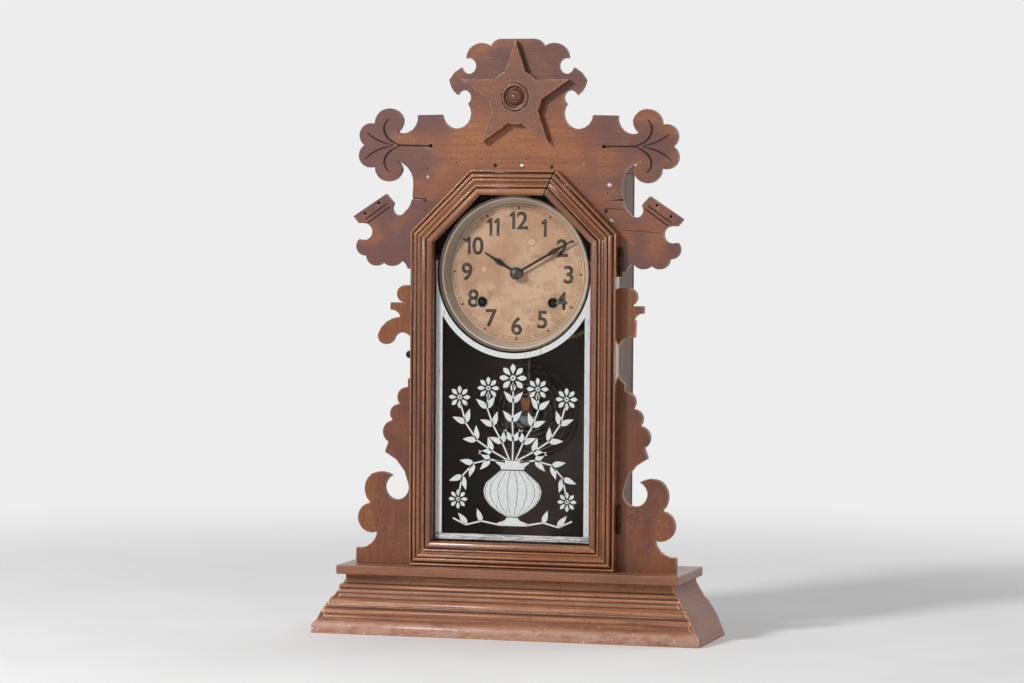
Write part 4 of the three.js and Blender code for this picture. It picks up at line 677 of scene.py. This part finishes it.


# ---------------------------------------------------------------- door frame
# Six lengths of one run moulding, mitred and glued round the glass. The beads are rubbed light, and
# the quirks between them are darkened: painted shade, mixed with dirt.
# The rails and the left corner take a lighter copy of the wood, and the stiles and the right corner
# a darker one: painted light and shade, for how each member faces the lamp.
SHADED_MEMBER_COLOURS = (colour(122, 66, 30), colour(146, 84, 36), colour(72, 34, 18))
LIT_MEMBER_COLOURS = (colour(152, 92, 56), colour(172, 112, 66), colour(90, 46, 28))
door_members = {
    "door_stile_left": (SHADED_MEMBER_COLOURS, ALONG_Z),
    "door_stile_right": (SHADED_MEMBER_COLOURS, ALONG_Z),
    "door_rail_bottom": (LIT_MEMBER_COLOURS, ALONG_X),
    "door_rail_top": (LIT_MEMBER_COLOURS, ALONG_X),
    "door_corner_left": (LIT_MEMBER_COLOURS, (0, math.pi / 4, 0)),
    "door_corner_right": (SHADED_MEMBER_COLOURS, (0, -math.pi / 4, 0)),
}
MITRE_ANGLE = math.pi / 8
for node, (lit_or_shaded_colours, grain) in door_members.items():
    wood = walnut(
        node.replace("_", " ") + " walnut",
        *lit_or_shaded_colours,
        grain=grain,
        bare=colour(214, 166, 124),
        patches=0.4,
        streaks=0.5,
        shine=0.24,
        groove=1.8,
        dirt_and_shade=(0.8, 0.42),
        coat=0.7,
    )
    member = softened(node, wood, edge=0.2, body="door", round_to=50)
    if node == "door_rail_top":
        # Its right mitre has come a little apart; the gap is painted black, as its shade.
        tree = wood.node_tree
        across = (math.cos(MITRE_ANGLE), 0, -math.sin(MITRE_ANGLE))
        joint = Vector(across).dot(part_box(node)[1])
        place = add_node(tree, "ShaderNodeTexCoord").outputs["Object"]
        reach = add_node(
            tree, "ShaderNodeVectorMath", {0: place, 1: across}, operation="DOT_PRODUCT"
        ).outputs["Value"]
        open_mitre_shade = ramp(tree, reach, joint - 1.4 * MM, joint - 0.8 * MM)
        tint_away(wood, open_mitre_shade, colour(20, 11, 8))


# ---------------------------------------------------------------- glass, putty and stencil
# Old window glass bedded in putty. On its back a silvery stencil: a plain border, a ring that
# frames the dial, and a fluted vase of flowers below it.
glass, glass_tree, glass_surface = new_material("window glass")
ripple = noise(glass_tree, place_in(glass_tree, (18, 18, 9)), detail=1)
glass_bump = add_node(
    glass_tree, "ShaderNodeBump", {"Height": ripple, "Strength": 0.12, "Distance": 0.002}
)
glass_tree.links.new(glass_bump.outputs[0], glass_surface.inputs["Normal"])
smear = noise(glass_tree, place_in(glass_tree, (30, 30, 12)), detail=4)
glass_rough = ramp(glass_tree, smear, 0.4, 0.8, 0.03, 0.16)
glass_tree.links.new(glass_rough, glass_surface.inputs["Roughness"])
glass_surface.inputs["Base Color"].default_value = (0.02, 0.022, 0.02, 1)
glass_surface.inputs["Alpha"].default_value = 0.08
glass.surface_render_method = "BLENDED"
dress("door_glass", glass)

putty, putty_tree, putty_surface = new_material("old putty")
putty_spots = noise(putty_tree, place_in(putty_tree, (200, 200, 200)), detail=4)
putty_tree.links.new(
    blend_colour(putty_tree, putty_spots, colour(70, 62, 54), colour(128, 116, 100)),
    putty_surface.inputs["Base Color"],
)
putty_surface.inputs["Roughness"].default_value = 0.9
softened("glass_putty", putty, edge=0.3, body="door")

stencil, stencil_tree, stencil_surface = new_material("silver stencil")
flake = noise(stencil_tree, place_in(stencil_tree, (420, 420, 420)), detail=5, rough=0.7)
streak = noise(stencil_tree, place_in(stencil_tree, (700, 700, 90)), detail=3)
silver = blend_colour(
    stencil_tree, ramp(stencil_tree, flake, 0.3, 0.5), colour(214, 218, 220), colour(246, 248, 248)
)
silver = blend_colour(
    stencil_tree, ramp(stencil_tree, streak, 0.64, 0.74, 0, 0.7), silver, colour(80, 82, 82)
)
rubbed_bar = noise(stencil_tree, place_in(stencil_tree, (60, 60, 1100)), detail=4, rough=0.7)
lower_bar = ramp(stencil_tree, height_of(stencil_tree), 0.097, 0.095)
rubbed_share = multiply(
    stencil_tree, lower_bar, ramp(stencil_tree, rubbed_bar, 0.46, 0.6, 0, 0.75)
)
silver = blend_colour(stencil_tree, rubbed_share, silver, colour(70, 70, 70))
stencil_tree.links.new(silver, stencil_surface.inputs["Base Color"])
stencil_surface.inputs["Roughness"].default_value = 0.55

GLASS_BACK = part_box("door_glass")[1].y
STENCIL_Y = GLASS_BACK + 0.05 * MM
stencil_pieces = []


def flat_ring(x, z, inner, outer, start=0, end=360, steps=72):
    """A flat ring or part of one; angles run clockwise from the top."""
    bpy.ops.object.select_all(action="DESELECT")
    bpy.ops.mesh.primitive_plane_add(size=1)
    ring = bpy.context.object
    made = bmesh.new()
    rows = []
    for i in range(steps + 1):
        angle = math.radians(start + (end - start) * i / steps)
        rows.append(
            [
                made.verts.new((x + r * math.sin(angle), 0, z + r * math.cos(angle)))
                for r in (inner, outer)
            ]
        )
    for (a, b), (c, d) in zip(rows, rows[1:]):
        made.faces.new((a, b, d, c))
    bmesh.ops.scale(made, vec=(MM, MM, MM), verts=made.verts)
    made.to_mesh(ring.data)
    made.free()
    return ring


def leaf(x, z, length, width, angle, bite=0.35):
    """A pointed leaf from its foot at (x, z), at an angle clockwise from upright."""
    turned = math.radians(angle)
    points = []
    for side in (1, -1):
        for i in range(7):
            share = i / 7 if side > 0 else 1 - i / 7
            half = width / 2 * math.sin(math.pi * share ** (1 - bite)) * side
            points.append((half, length * share))
    run_x, run_z = math.sin(turned), math.cos(turned)
    return [(x + a * run_z + b * run_x, z - a * run_x + b * run_z) for a, b in points]


def stem(points, width):
    """A drawn line of even width through points, as two parallel edges."""
    left_edge, right_edge = [], []
    for i, (x, z) in enumerate(points):
        ahead_x, ahead_z = points[min(i + 1, len(points) - 1)]
        behind_x, behind_z = points[max(i - 1, 0)]
        run_x, run_z = ahead_x - behind_x, ahead_z - behind_z
        half = width / 2 / math.hypot(run_x, run_z)
        left_edge.append((x - run_z * half, z + run_x * half))
        right_edge.append((x + run_z * half, z - run_x * half))
    return left_edge + right_edge[::-1]


def swing(x, z, radius, start, end, steps=14):
    """Points on an arc, angles clockwise from the top."""
    angles = [math.radians(start + (end - start) * i / steps) for i in range(steps + 1)]
    return [(x + radius * math.sin(a), z + radius * math.cos(a)) for a in angles]


# The border: a ring under the dial, a strip down each side that meets it, and a bar below.
dial_x, dial_z = 0.0, 340.7
RING_INNER, RING_OUTER = 74.6, 79.8
RING_STARTS, STRIP_LEAVES_RING = 120, 81.5
STRIP_INNER, STRIP_OUTER, STRIP_TOP, STRIP_BOTTOM = 69, 75.4, 352, 90
BAR_BOTTOM, BAR_TOP = 90.2, 95.6
stencil_pieces.append(
    flat_ring(dial_x, dial_z, RING_INNER, RING_OUTER, RING_STARTS, 360 - RING_STARTS)
)
for hand in (1, -1):
    beside_dial = swing(dial_x, dial_z, RING_INNER, RING_STARTS, STRIP_LEAVES_RING)
    ring_corner = swing(dial_x, dial_z, RING_OUTER, RING_STARTS, RING_STARTS, 1)[0]
    strip = [(STRIP_INNER, STRIP_BOTTOM), ring_corner, *beside_dial]
    strip += [(STRIP_OUTER, STRIP_TOP), (STRIP_OUTER, STRIP_BOTTOM)]
    stencil_pieces.append(flat_patch([(hand * x, z) for x, z in strip]))
stencil_pieces.append(
    flat_patch(
        [
            (-STRIP_INNER, BAR_BOTTOM),
            (STRIP_INNER, BAR_BOTTOM),
            (STRIP_INNER, BAR_TOP),
            (-STRIP_INNER, BAR_TOP),
        ]
    )
)


LEAF_SPREAD = 42


def leafy(points, width, length, leaf_width):
    """A stem with a pair of leaves at each of its inner points."""
    drawn = [stem(points, width)]
    for (x0, z0), (x, z), (x1, z1) in zip(points, points[1:], points[2:]):
        run = math.degrees(math.atan2(x1 - x0, z1 - z0))
        drawn += [leaf(x, z, length, leaf_width, run + side * LEAF_SPREAD) for side in (1, -1)]
    return drawn


def mirrored(points, hand):
    return [(hand * x, z) for x, z in points]


# The vase that holds the spray of flowers: heights and half widths, from its foot to its lip.
VASE_FOOT = ((104, 15), (106.5, 15), (109, 7.5), (112, 5))
VASE_BELLY = (
    (112.8, 6),
    (117, 14),
    (123, 22),
    (130, 27),
    (137, 28.5),
    (144, 26),
    (151, 18),
    (156, 12),
)
VASE_LIP = ((157, 11), (160, 12), (163, 16), (165.5, 17))
VASE_FLUTES = 9
FLUTE_GAP = 0.5
for part in (VASE_FOOT, VASE_LIP):
    stencil_pieces.append(
        flat_patch([(half, z) for z, half in part] + [(-half, z) for z, half in reversed(part)])
    )
for flute in range(VASE_FLUTES):
    left_share, right_share = (
        math.sin(math.pi * (flute + step) / VASE_FLUTES - math.pi / 2) for step in (0, 1)
    )
    left_side = [(half * left_share + FLUTE_GAP / 2, z) for z, half in VASE_BELLY]
    right_side = [(half * right_share - FLUTE_GAP / 2, z) for z, half in VASE_BELLY]
    stencil_pieces.append(flat_patch(right_side + left_side[::-1]))

# The width of a stem, and the length and width of its leaves.
LEAVES = (1.5, 14, 5.6)
MIDDLE_STEM = ((0, 166), (0.4, 184), (-0.4, 202), (0.4, 220), (0, 238))
SIDE_STEMS = (
    ((3, 166), (10, 182), (19, 198), (25, 214), (24, 228)),
    ((5, 166), (20, 174), (35, 184), (46, 200), (51, 218)),
    ((7, 164), (22, 166), (38, 162), (49, 150), (52, 134)),
)
TABLE_STEM = ((14, 105), (30, 108), (45, 104), (58, 110))
spray = leafy(MIDDLE_STEM, *LEAVES)
for hand in (1, -1):
    for points in SIDE_STEMS:
        spray += leafy(mirrored(points, hand), *LEAVES)
    spray.append(stem(mirrored(TABLE_STEM, hand), 1.6))
    spray.append(leaf(hand * 44, 104.5, 14, 5.6, hand * 40))
    spray.append(leaf(hand * 30, 107.5, 13, 5.4, hand * 20))
stencil_pieces.extend(flat_patch(points) for points in spray)

# The middle of each flower, and its reach.
FLOWERS = (
    (0, 243, 10),
    (-24, 233, 8),
    (24, 233, 8),
    (-52, 224, 8),
    (52, 224, 8),
    (-53, 128, 7),
    (53, 128, 7),
)
PETALS = 8
for x, z, reach in FLOWERS:
    stencil_pieces.append(flat_ring(x, z, 0.9, reach * 0.26, steps=16))
    for petal_number in range(PETALS):
        turn = 360 / PETALS * petal_number
        petal = leaf(x, z, reach, reach * 0.5, turn, bite=-0.3)
        shift_x, shift_z = swing(0, 0, reach * 0.34, turn, turn, 1)[0]
        stencil_pieces.append(flat_patch([(a + shift_x, b + shift_z) for a, b in petal]))


def joined(pieces):
    bpy.ops.object.select_all(action="DESELECT")
    for piece in pieces:
        piece.select_set(True)
    bpy.context.view_layer.objects.active = pieces[0]
    bpy.ops.object.join()
    return bpy.context.object


stencil_work = printed(joined(stencil_pieces), STENCIL_Y)
stencil_work.name = "glass_stencil"
stencil_work.data.materials.append(stencil)
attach(stencil_work, "door")


# ---------------------------------------------------------------- dial
# A shallow zinc pan with a sloping rim. A printed paper is pasted on its floor: twelve plain
# numerals inside a track of minute marks, gone brown and spotted with age.
pan_metal = metal("aged zinc pan", colour(216, 202, 184), colour(202, 186, 168), 0.36, 0.15, 0.06)
pan_tree = pan_metal.node_tree
PAN_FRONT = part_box("dial_pan")[0].y
pan_place = add_node(pan_tree, "ShaderNodeTexCoord").outputs["Object"]
flat_place = add_node(
    pan_tree, "ShaderNodeVectorMath", {0: pan_place, 1: (1, 0, 1)}, operation="MULTIPLY"
).outputs[0]
from_middle = add_node(
    pan_tree,
    "ShaderNodeVectorMath",
    {0: flat_place, 1: (0, 0, dial_z * MM)},
    operation="DISTANCE",
).outputs["Value"]
# The rolled edge is grey outside. The left of the rim is darker, which is painted shade, and a thin
# bright line on the edge's crest is a painted highlight.
CREST_STARTS, CREST_ENDS, CREST_BLUR = 0.0696, 0.0706, 0.0003
past_crest = ramp(pan_tree, from_middle, CREST_ENDS, CREST_ENDS + CREST_BLUR)
tint_away(pan_metal, past_crest, colour(134, 118, 102))
# Painted shade: the rim darkens away from its right side.
left_rim_shade = far_from(pan_tree, (0.05, PAN_FRONT, dial_z * MM), 0.08, 0.13)
tint_away(pan_metal, multiply(pan_tree, left_rim_shade, 0.6), colour(128, 118, 108))
# Painted highlight: a bright thin ring round the crest of the rolled edge.
crest_highlight = multiply(
    pan_tree,
    ramp(pan_tree, from_middle, CREST_STARTS, CREST_STARTS + CREST_BLUR),
    ramp(pan_tree, from_middle, CREST_ENDS + CREST_BLUR, CREST_ENDS),
)
tint_away(pan_metal, crest_highlight, colour(250, 244, 232))
softened("dial_pan", pan_metal, edge=0.25, angle=25)

PAPER_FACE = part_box("dial_paper")[0].y
paper, paper_tree, paper_surface = new_material("browned dial paper")
age = noise(paper_tree, place_in(paper_tree, (22, 22, 22)), detail=5)
blotches = noise(paper_tree, place_in(paper_tree, (60, 60, 60)), detail=4)
spots = noise(paper_tree, place_in(paper_tree, (130, 130, 130)), detail=3)
fibres = noise(paper_tree, place_in(paper_tree, (900, 900, 900)), detail=3)
sheet_colour = colour(226, 188, 154)
for share, stain in (
    (ramp(paper_tree, age, 0.38, 0.66), colour(202, 156, 122)),
    (ramp(paper_tree, blotches, 0.48, 0.66, 0, 0.65), colour(184, 140, 110)),
    (ramp(paper_tree, spots, 0.56, 0.72, 0, 0.5), colour(158, 112, 82)),
    (ramp(paper_tree, fibres, 0.4, 0.7, 0, 0.2), colour(234, 204, 174)),
    # Painted glare: the sheet turns a greyish pale towards its left edge.
    (far_from(paper_tree, (0.02, PAPER_FACE, dial_z * MM), 0.07, 0.1), colour(196, 170, 148)),
):
    sheet_colour = blend_colour(paper_tree, share, sheet_colour, stain)
# Round pale marks that old damp has left, each with a darker rim: x, z and radius.
DAMP_MARKS = ((13.5, 370, 4), (-33, 344, 3), (11, 311, 3))
DAMP_SHADES = ((0.62, 0.54, colour(184, 142, 106)), (0.48, 0.4, colour(224, 190, 154)))
for x, z, radius in DAMP_MARKS:
    reach = far_from(paper_tree, (x * MM, PAPER_FACE, z * MM), 0, radius * 2 * MM)
    for low, high, stain in DAMP_SHADES:
        mark = ramp(paper_tree, reach, low, high)
        sheet_colour = blend_colour(paper_tree, mark, sheet_colour, stain)
paper_tree.links.new(sheet_colour, paper_surface.inputs["Base Color"])
paper_surface.inputs["Roughness"].default_value = 0.75
dress("dial_paper", paper)

ink, ink_tree, ink_surface = new_material("faded black ink")
fading = ramp(
    ink_tree, noise(ink_tree, place_in(ink_tree, (240, 240, 240)), detail=5), 0.45, 0.7
)
ink_tree.links.new(
    blend_colour(ink_tree, fading, colour(66, 62, 56), colour(112, 98, 82)),
    ink_surface.inputs["Base Color"],
)
ink_surface.inputs["Roughness"].default_value = 0.7

PRINT_Y = PAPER_FACE - 0.04 * MM
# The sheet was pasted on a little crooked, by this angle in degrees.
DIAL_LEAN = 0.8
TRACK_INNER, TRACK_OUTER = 60.1, 62.5
HOUR_DOT = 0.95
print_pieces = [
    flat_ring(dial_x, dial_z, TRACK_OUTER - 0.1, TRACK_OUTER + 0.25),
    flat_ring(dial_x, dial_z, TRACK_INNER - 0.2, TRACK_INNER + 0.05),
]
for minute in range(60):
    angle = minute * 6 + DIAL_LEAN
    half = 0.45 if minute % 5 == 0 else 0.15
    print_pieces.append(
        flat_ring(dial_x, dial_z, TRACK_INNER, TRACK_OUTER, angle - half, angle + half, 1)
    )
for hour in range(12):
    x, z = swing(dial_x, dial_z, (TRACK_INNER + TRACK_OUTER) / 2, hour * 30 + DIAL_LEAN, 0, 1)[0]
    print_pieces.append(flat_patch(swing(x, z, HOUR_DOT, 0, 330, 11)))

NUMERAL_HEIGHT = 16.5
NUMERAL_TRACK = 49.5
NUMERAL_GAP = 1.5
ONE_WIDTH = 2.9


def digit(character):
    """One upright figure at the origin. The one is drawn from given points, with a short slanted
    flag.
    """
    if character == "1":
        half, low, high = ONE_WIDTH / 2, -NUMERAL_HEIGHT / 2, NUMERAL_HEIGHT / 2
        flag = ((-half, high - 4.6), (-half - 2.6, high - 3.0), (-half - 2.6, high - 5.0))
        right_side = ((half, low), (half, high), (-half + 0.4, high))
        return flat_patch([*right_side, flag[1], flag[2], flag[0], (-half, low)])
    bpy.ops.object.select_all(action="DESELECT")
    bpy.ops.object.text_add(rotation=(math.pi / 2, 0, 0))
    text = bpy.context.object
    text.data.body = character
    text.data.align_y = "CENTER"
    text.data.size = NUMERAL_HEIGHT / 0.72 * MM
    text.data.offset = 0.45 * MM
    text.data.resolution_u = 6
    bpy.ops.object.convert(target="MESH")
    bpy.ops.object.transform_apply(location=False, rotation=True, scale=True)
    return bpy.context.object


def span(piece, axis):
    """The least and the greatest place of the piece's points along an axis."""
    values = [vertex.co[axis] for vertex in piece.data.vertices]
    return min(values), max(values)


for hour in range(1, 13):
    digits = [digit(character) for character in str(hour)]
    width = sum(span(figure, 0)[1] - span(figure, 0)[0] for figure in digits)
    width += NUMERAL_GAP * MM * (len(digits) - 1)
    x, z = swing(dial_x, dial_z, NUMERAL_TRACK, hour * 30 + DIAL_LEAN, 0, 1)[0]
    reached = x * MM - width / 2
    for figure in digits:
        low_x, high_x = span(figure, 0)
        figure.location = (reached - low_x, 0, z * MM - sum(span(figure, 2)) / 2)
        reached += high_x - low_x + NUMERAL_GAP * MM
        select_only(figure)
        bpy.ops.object.transform_apply(location=True, rotation=True, scale=True)
        print_pieces.append(figure)

dial_print = printed(joined(print_pieces), PRINT_Y, 0.05)
dial_print.name = "dial_print"
dial_print.data.materials.clear()
dial_print.data.materials.append(ink)
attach(dial_print, "case")


# A thin ring round each winding hole, of the pan's metal.
hole_metal = metal("dulled hole ring", colour(176, 166, 150), colour(130, 118, 104), 0.4, 0.3)
for train in ("time", "strike"):
    low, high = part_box(train + "_winding_arbor")
    bpy.ops.object.select_all(action="DESELECT")
    bpy.ops.mesh.primitive_torus_add(
        major_segments=40,
        minor_segments=10,
        major_radius=5.1 * MM,
        minor_radius=0.5 * MM,
        location=((low.x + high.x) / 2, PAPER_FACE - 0.2 * MM, (low.z + high.z) / 2),
        rotation=(math.pi / 2, 0, 0),
    )
    hole_ring = bpy.context.object
    hole_ring.name = train + "_winding_hole_ring"
    bpy.ops.object.transform_apply(location=True, rotation=True, scale=True)
    hole_ring.data.materials.append(hole_metal)
    smooth(hole_ring)
    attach(hole_ring, "case")


# ---------------------------------------------------------------- hands and nut
# Stamped steel hands, blued and then darkened, with a leaf near the tip. A round steel nut holds
# them on the centre arbor.
hand_steel = metal("darkened hand steel", colour(52, 46, 44), colour(30, 27, 27), 0.42, 0.7)
nut_steel = metal("greyed nut steel", colour(120, 118, 116), colour(70, 68, 68), 0.38, 0.9)
softened("hour_hand", hand_steel, edge=0.2, body="hour_hand_and_wheel")
softened("minute_hand", hand_steel, edge=0.2, body="minute_hand_and_center")
softened("hand_nut", nut_steel, edge=0.25, angle=40, body="minute_hand_and_center")


# ---------------------------------------------------------------- movement
# Stamped brass plates and cut brass wheels on steel arbors, with two open steel mainsprings. All of
# it is hidden behind the dial unless the case is looked into.
old_brass = metal("old brass", colour(182, 148, 84), colour(118, 90, 50), 0.3)
train_steel = metal("train steel", colour(120, 116, 112), colour(64, 58, 54), 0.4)
for node in (
    "center_arbor",
    "time_great_wheel",
    "strike_great_wheel",
    "third_wheel",
    "escape_wheel",
    "strike_second_wheel",
    "fly",
    "minute_wheel",
    "hour_wheel",
):
    dress(node, old_brass)
for node in ("front_plate", "back_plate"):
    softened(node, old_brass, edge=0.2)
# The winding arbors are painted near black: painted shade, for the dark inside the winding holes.
arbor_steel_in_shade = metal("arbor steel in painted shade", colour(30, 28, 26), colour(16, 15, 14), 0.6, 0.4)
for node in ("time_winding_arbor", "strike_winding_arbor"):
    dress(node, arbor_steel_in_shade)
for node in ("verge_and_crutch", "time_mainspring", "strike_mainspring"):
    dress(node, train_steel)


# ---------------------------------------------------------------- pendulum
# A brass-faced bob that slides on a steel wire and rests on its rating nut. A strip of spring
# steel hangs the wire from the cock on the back plate.
bob_brass = metal("bob brass", colour(196, 158, 86), colour(140, 106, 58), 0.26)
dress("pendulum_rod", train_steel)
softened("pendulum_bob", bob_brass, edge=0.3, angle=25, body="pendulum")


# ---------------------------------------------------------------- gong and hammer
# A coil of dark steel wire held at its inner end by a cast stand on the back board. The hammer is
# a steel wire with a pad of brown leather.
gong_steel = metal("gong wire", colour(96, 88, 80), colour(46, 40, 36), 0.36, 0.9)
stand_iron = metal("grey stand iron", colour(150, 152, 156), colour(104, 104, 108), 0.5, 0.5)
hammer_leather, leather_tree, leather_surface = new_material("hammer leather")
pad = noise(leather_tree, place_in(leather_tree, (260, 260, 260)), detail=5)
leather_tree.links.new(
    blend_colour(leather_tree, pad, colour(108, 66, 32), colour(168, 108, 58)),
    leather_surface.inputs["Base Color"],
)
leather_surface.inputs["Roughness"].default_value = 0.8
leather_bump = add_node(
    leather_tree, "ShaderNodeBump", {"Height": pad, "Strength": 0.4, "Distance": 0.0004}
)
leather_tree.links.new(leather_bump.outputs[0], leather_surface.inputs["Normal"])
# The bends of the wire are rounded; it is fattened first, because rounding thins it.
WIRE_ALLOWANCE = 0.16
coil = softened("gong_coil", gong_steel, edge=0)
select_only(coil)
bpy.ops.object.mode_set(mode="EDIT")
bpy.ops.mesh.select_all(action="SELECT")
bpy.ops.transform.shrink_fatten(value=WIRE_ALLOWANCE * MM)
bpy.ops.object.mode_set(mode="OBJECT")
apply_modifier(coil, "SUBSURF", levels=2, render_levels=2)
smooth(coil, 80)
softened("gong_stand", stand_iron, edge=0.5)
dress("strike_hammer", train_steel)
softened("hammer_head", hammer_leather, edge=0.8, steps=3, body="hammer")


# ---------------------------------------------------------------- hinges and catch
# Small cast brass butt hinges let into the frame, and a blackened iron catch turned by a knob on
# the left side.
# The hinge brass is made very dark: painted shade, for the shadow beside the door's edge where the
# hinges sit.
hinge_brass_in_shade = metal("hinge brass in painted shade", colour(78, 62, 42), colour(48, 36, 26), 0.5, 0.8)
catch_iron = metal("blackened iron", colour(34, 32, 31), colour(18, 17, 17), 0.38, 0.6)
for place in ("lower", "upper"):
    softened(f"hinge_{place}_case_leaf", hinge_brass_in_shade, edge=0.12)
    softened(f"hinge_{place}_door_leaf", hinge_brass_in_shade, edge=0.12, body="door")
    softened(f"hinge_{place}_pin", hinge_brass_in_shade, edge=0.12)
softened("catch_knob", catch_iron, edge=0.2, angle=40, body="catch")
softened("catch_hook", catch_iron, edge=0.2, body="catch")
softened("door_strike", catch_iron, edge=0.1, body="door")


# ---------------------------------------------------------------- floor, surround and light
# A pale floor that fades into an even white surround, so that the clock can be seen from any side.
# One soft lamp stands high on the left in front, and weaker ones fill from the right and behind.
FLOOR_RADIUS = 3
FLOOR_SOLID, FLOOR_GONE = 0.55, 1.5
SURROUND = colour(237, 237, 237)[0]

bpy.ops.object.select_all(action="DESELECT")
bpy.ops.mesh.primitive_circle_add(vertices=96, radius=FLOOR_RADIUS, fill_type="NGON")
studio = bpy.context.object
studio.name = "studio_floor"
floor_material, floor_tree, floor_surface = new_material("pale floor")
floor_grain = noise(floor_tree, place_in(floor_tree, (6, 6, 6)), detail=2)
floor_share = ramp(floor_tree, floor_grain, 0.3, 0.7)
floor_tree.links.new(
    blend_colour(floor_tree, floor_share, colour(246, 246, 246), colour(242, 242, 242)),
    floor_surface.inputs["Base Color"],
)
floor_surface.inputs["Roughness"].default_value = 0.9
floor_tree.links.new(
    far_from(floor_tree, (0, 0, 0), FLOOR_GONE, FLOOR_SOLID), floor_surface.inputs["Alpha"]
)
studio.data.materials.append(floor_material)


def soft_lamp(name, place, target, size, power):
    """A square lamp at a place, turned towards a target; metres and watts."""
    direction = Vector(target) - Vector(place)
    bpy.ops.object.light_add(
        type="AREA", location=place, rotation=direction.to_track_quat("-Z", "Y").to_euler()
    )
    lamp = bpy.context.object
    lamp.name = name
    lamp.data.size = size
    lamp.data.energy = power


soft_lamp("key_lamp", (-1.35, -2.2, 1.65), (0, 0, 0.28), 0.45, 60)
soft_lamp("fill_lamp", (2.1, -2.3, 0.9), (0, 0, 0.25), 1.6, 7)
soft_lamp("back_lamp", (0.6, 0.9, 2.2), (0, 0, 0.3), 1.4, 10)

world = bpy.data.worlds.new("studio air")
world.use_nodes = True
bpy.context.scene.world = world
air = world.node_tree
air.nodes.clear()
ray = add_node(air, "ShaderNodeLightPath").outputs
seen = add_node(
    air, "ShaderNodeMath", {0: ray["Is Camera Ray"], 1: ray["Is Glossy Ray"]}, operation="MAXIMUM"
).outputs[0]
seen = add_node(
    air, "ShaderNodeMath", {0: seen, 1: ray["Is Transmission Ray"]}, operation="MAXIMUM"
).outputs[0]
soft_light = add_node(
    air, "ShaderNodeBackground", {"Color": (0.97, 0.97, 0.97, 1), "Strength": 0.32}
).outputs[0]
surround = add_node(
    air, "ShaderNodeBackground", {"Color": (SURROUND, SURROUND, SURROUND, 1)}
).outputs[0]
sky = add_node(air, "ShaderNodeMixShader", {0: seen, 1: soft_light, 2: surround})
air.links.new(sky.outputs[0], add_node(air, "ShaderNodeOutputWorld").inputs[0])
bpy.context.scene.view_settings.view_transform = "Standard"
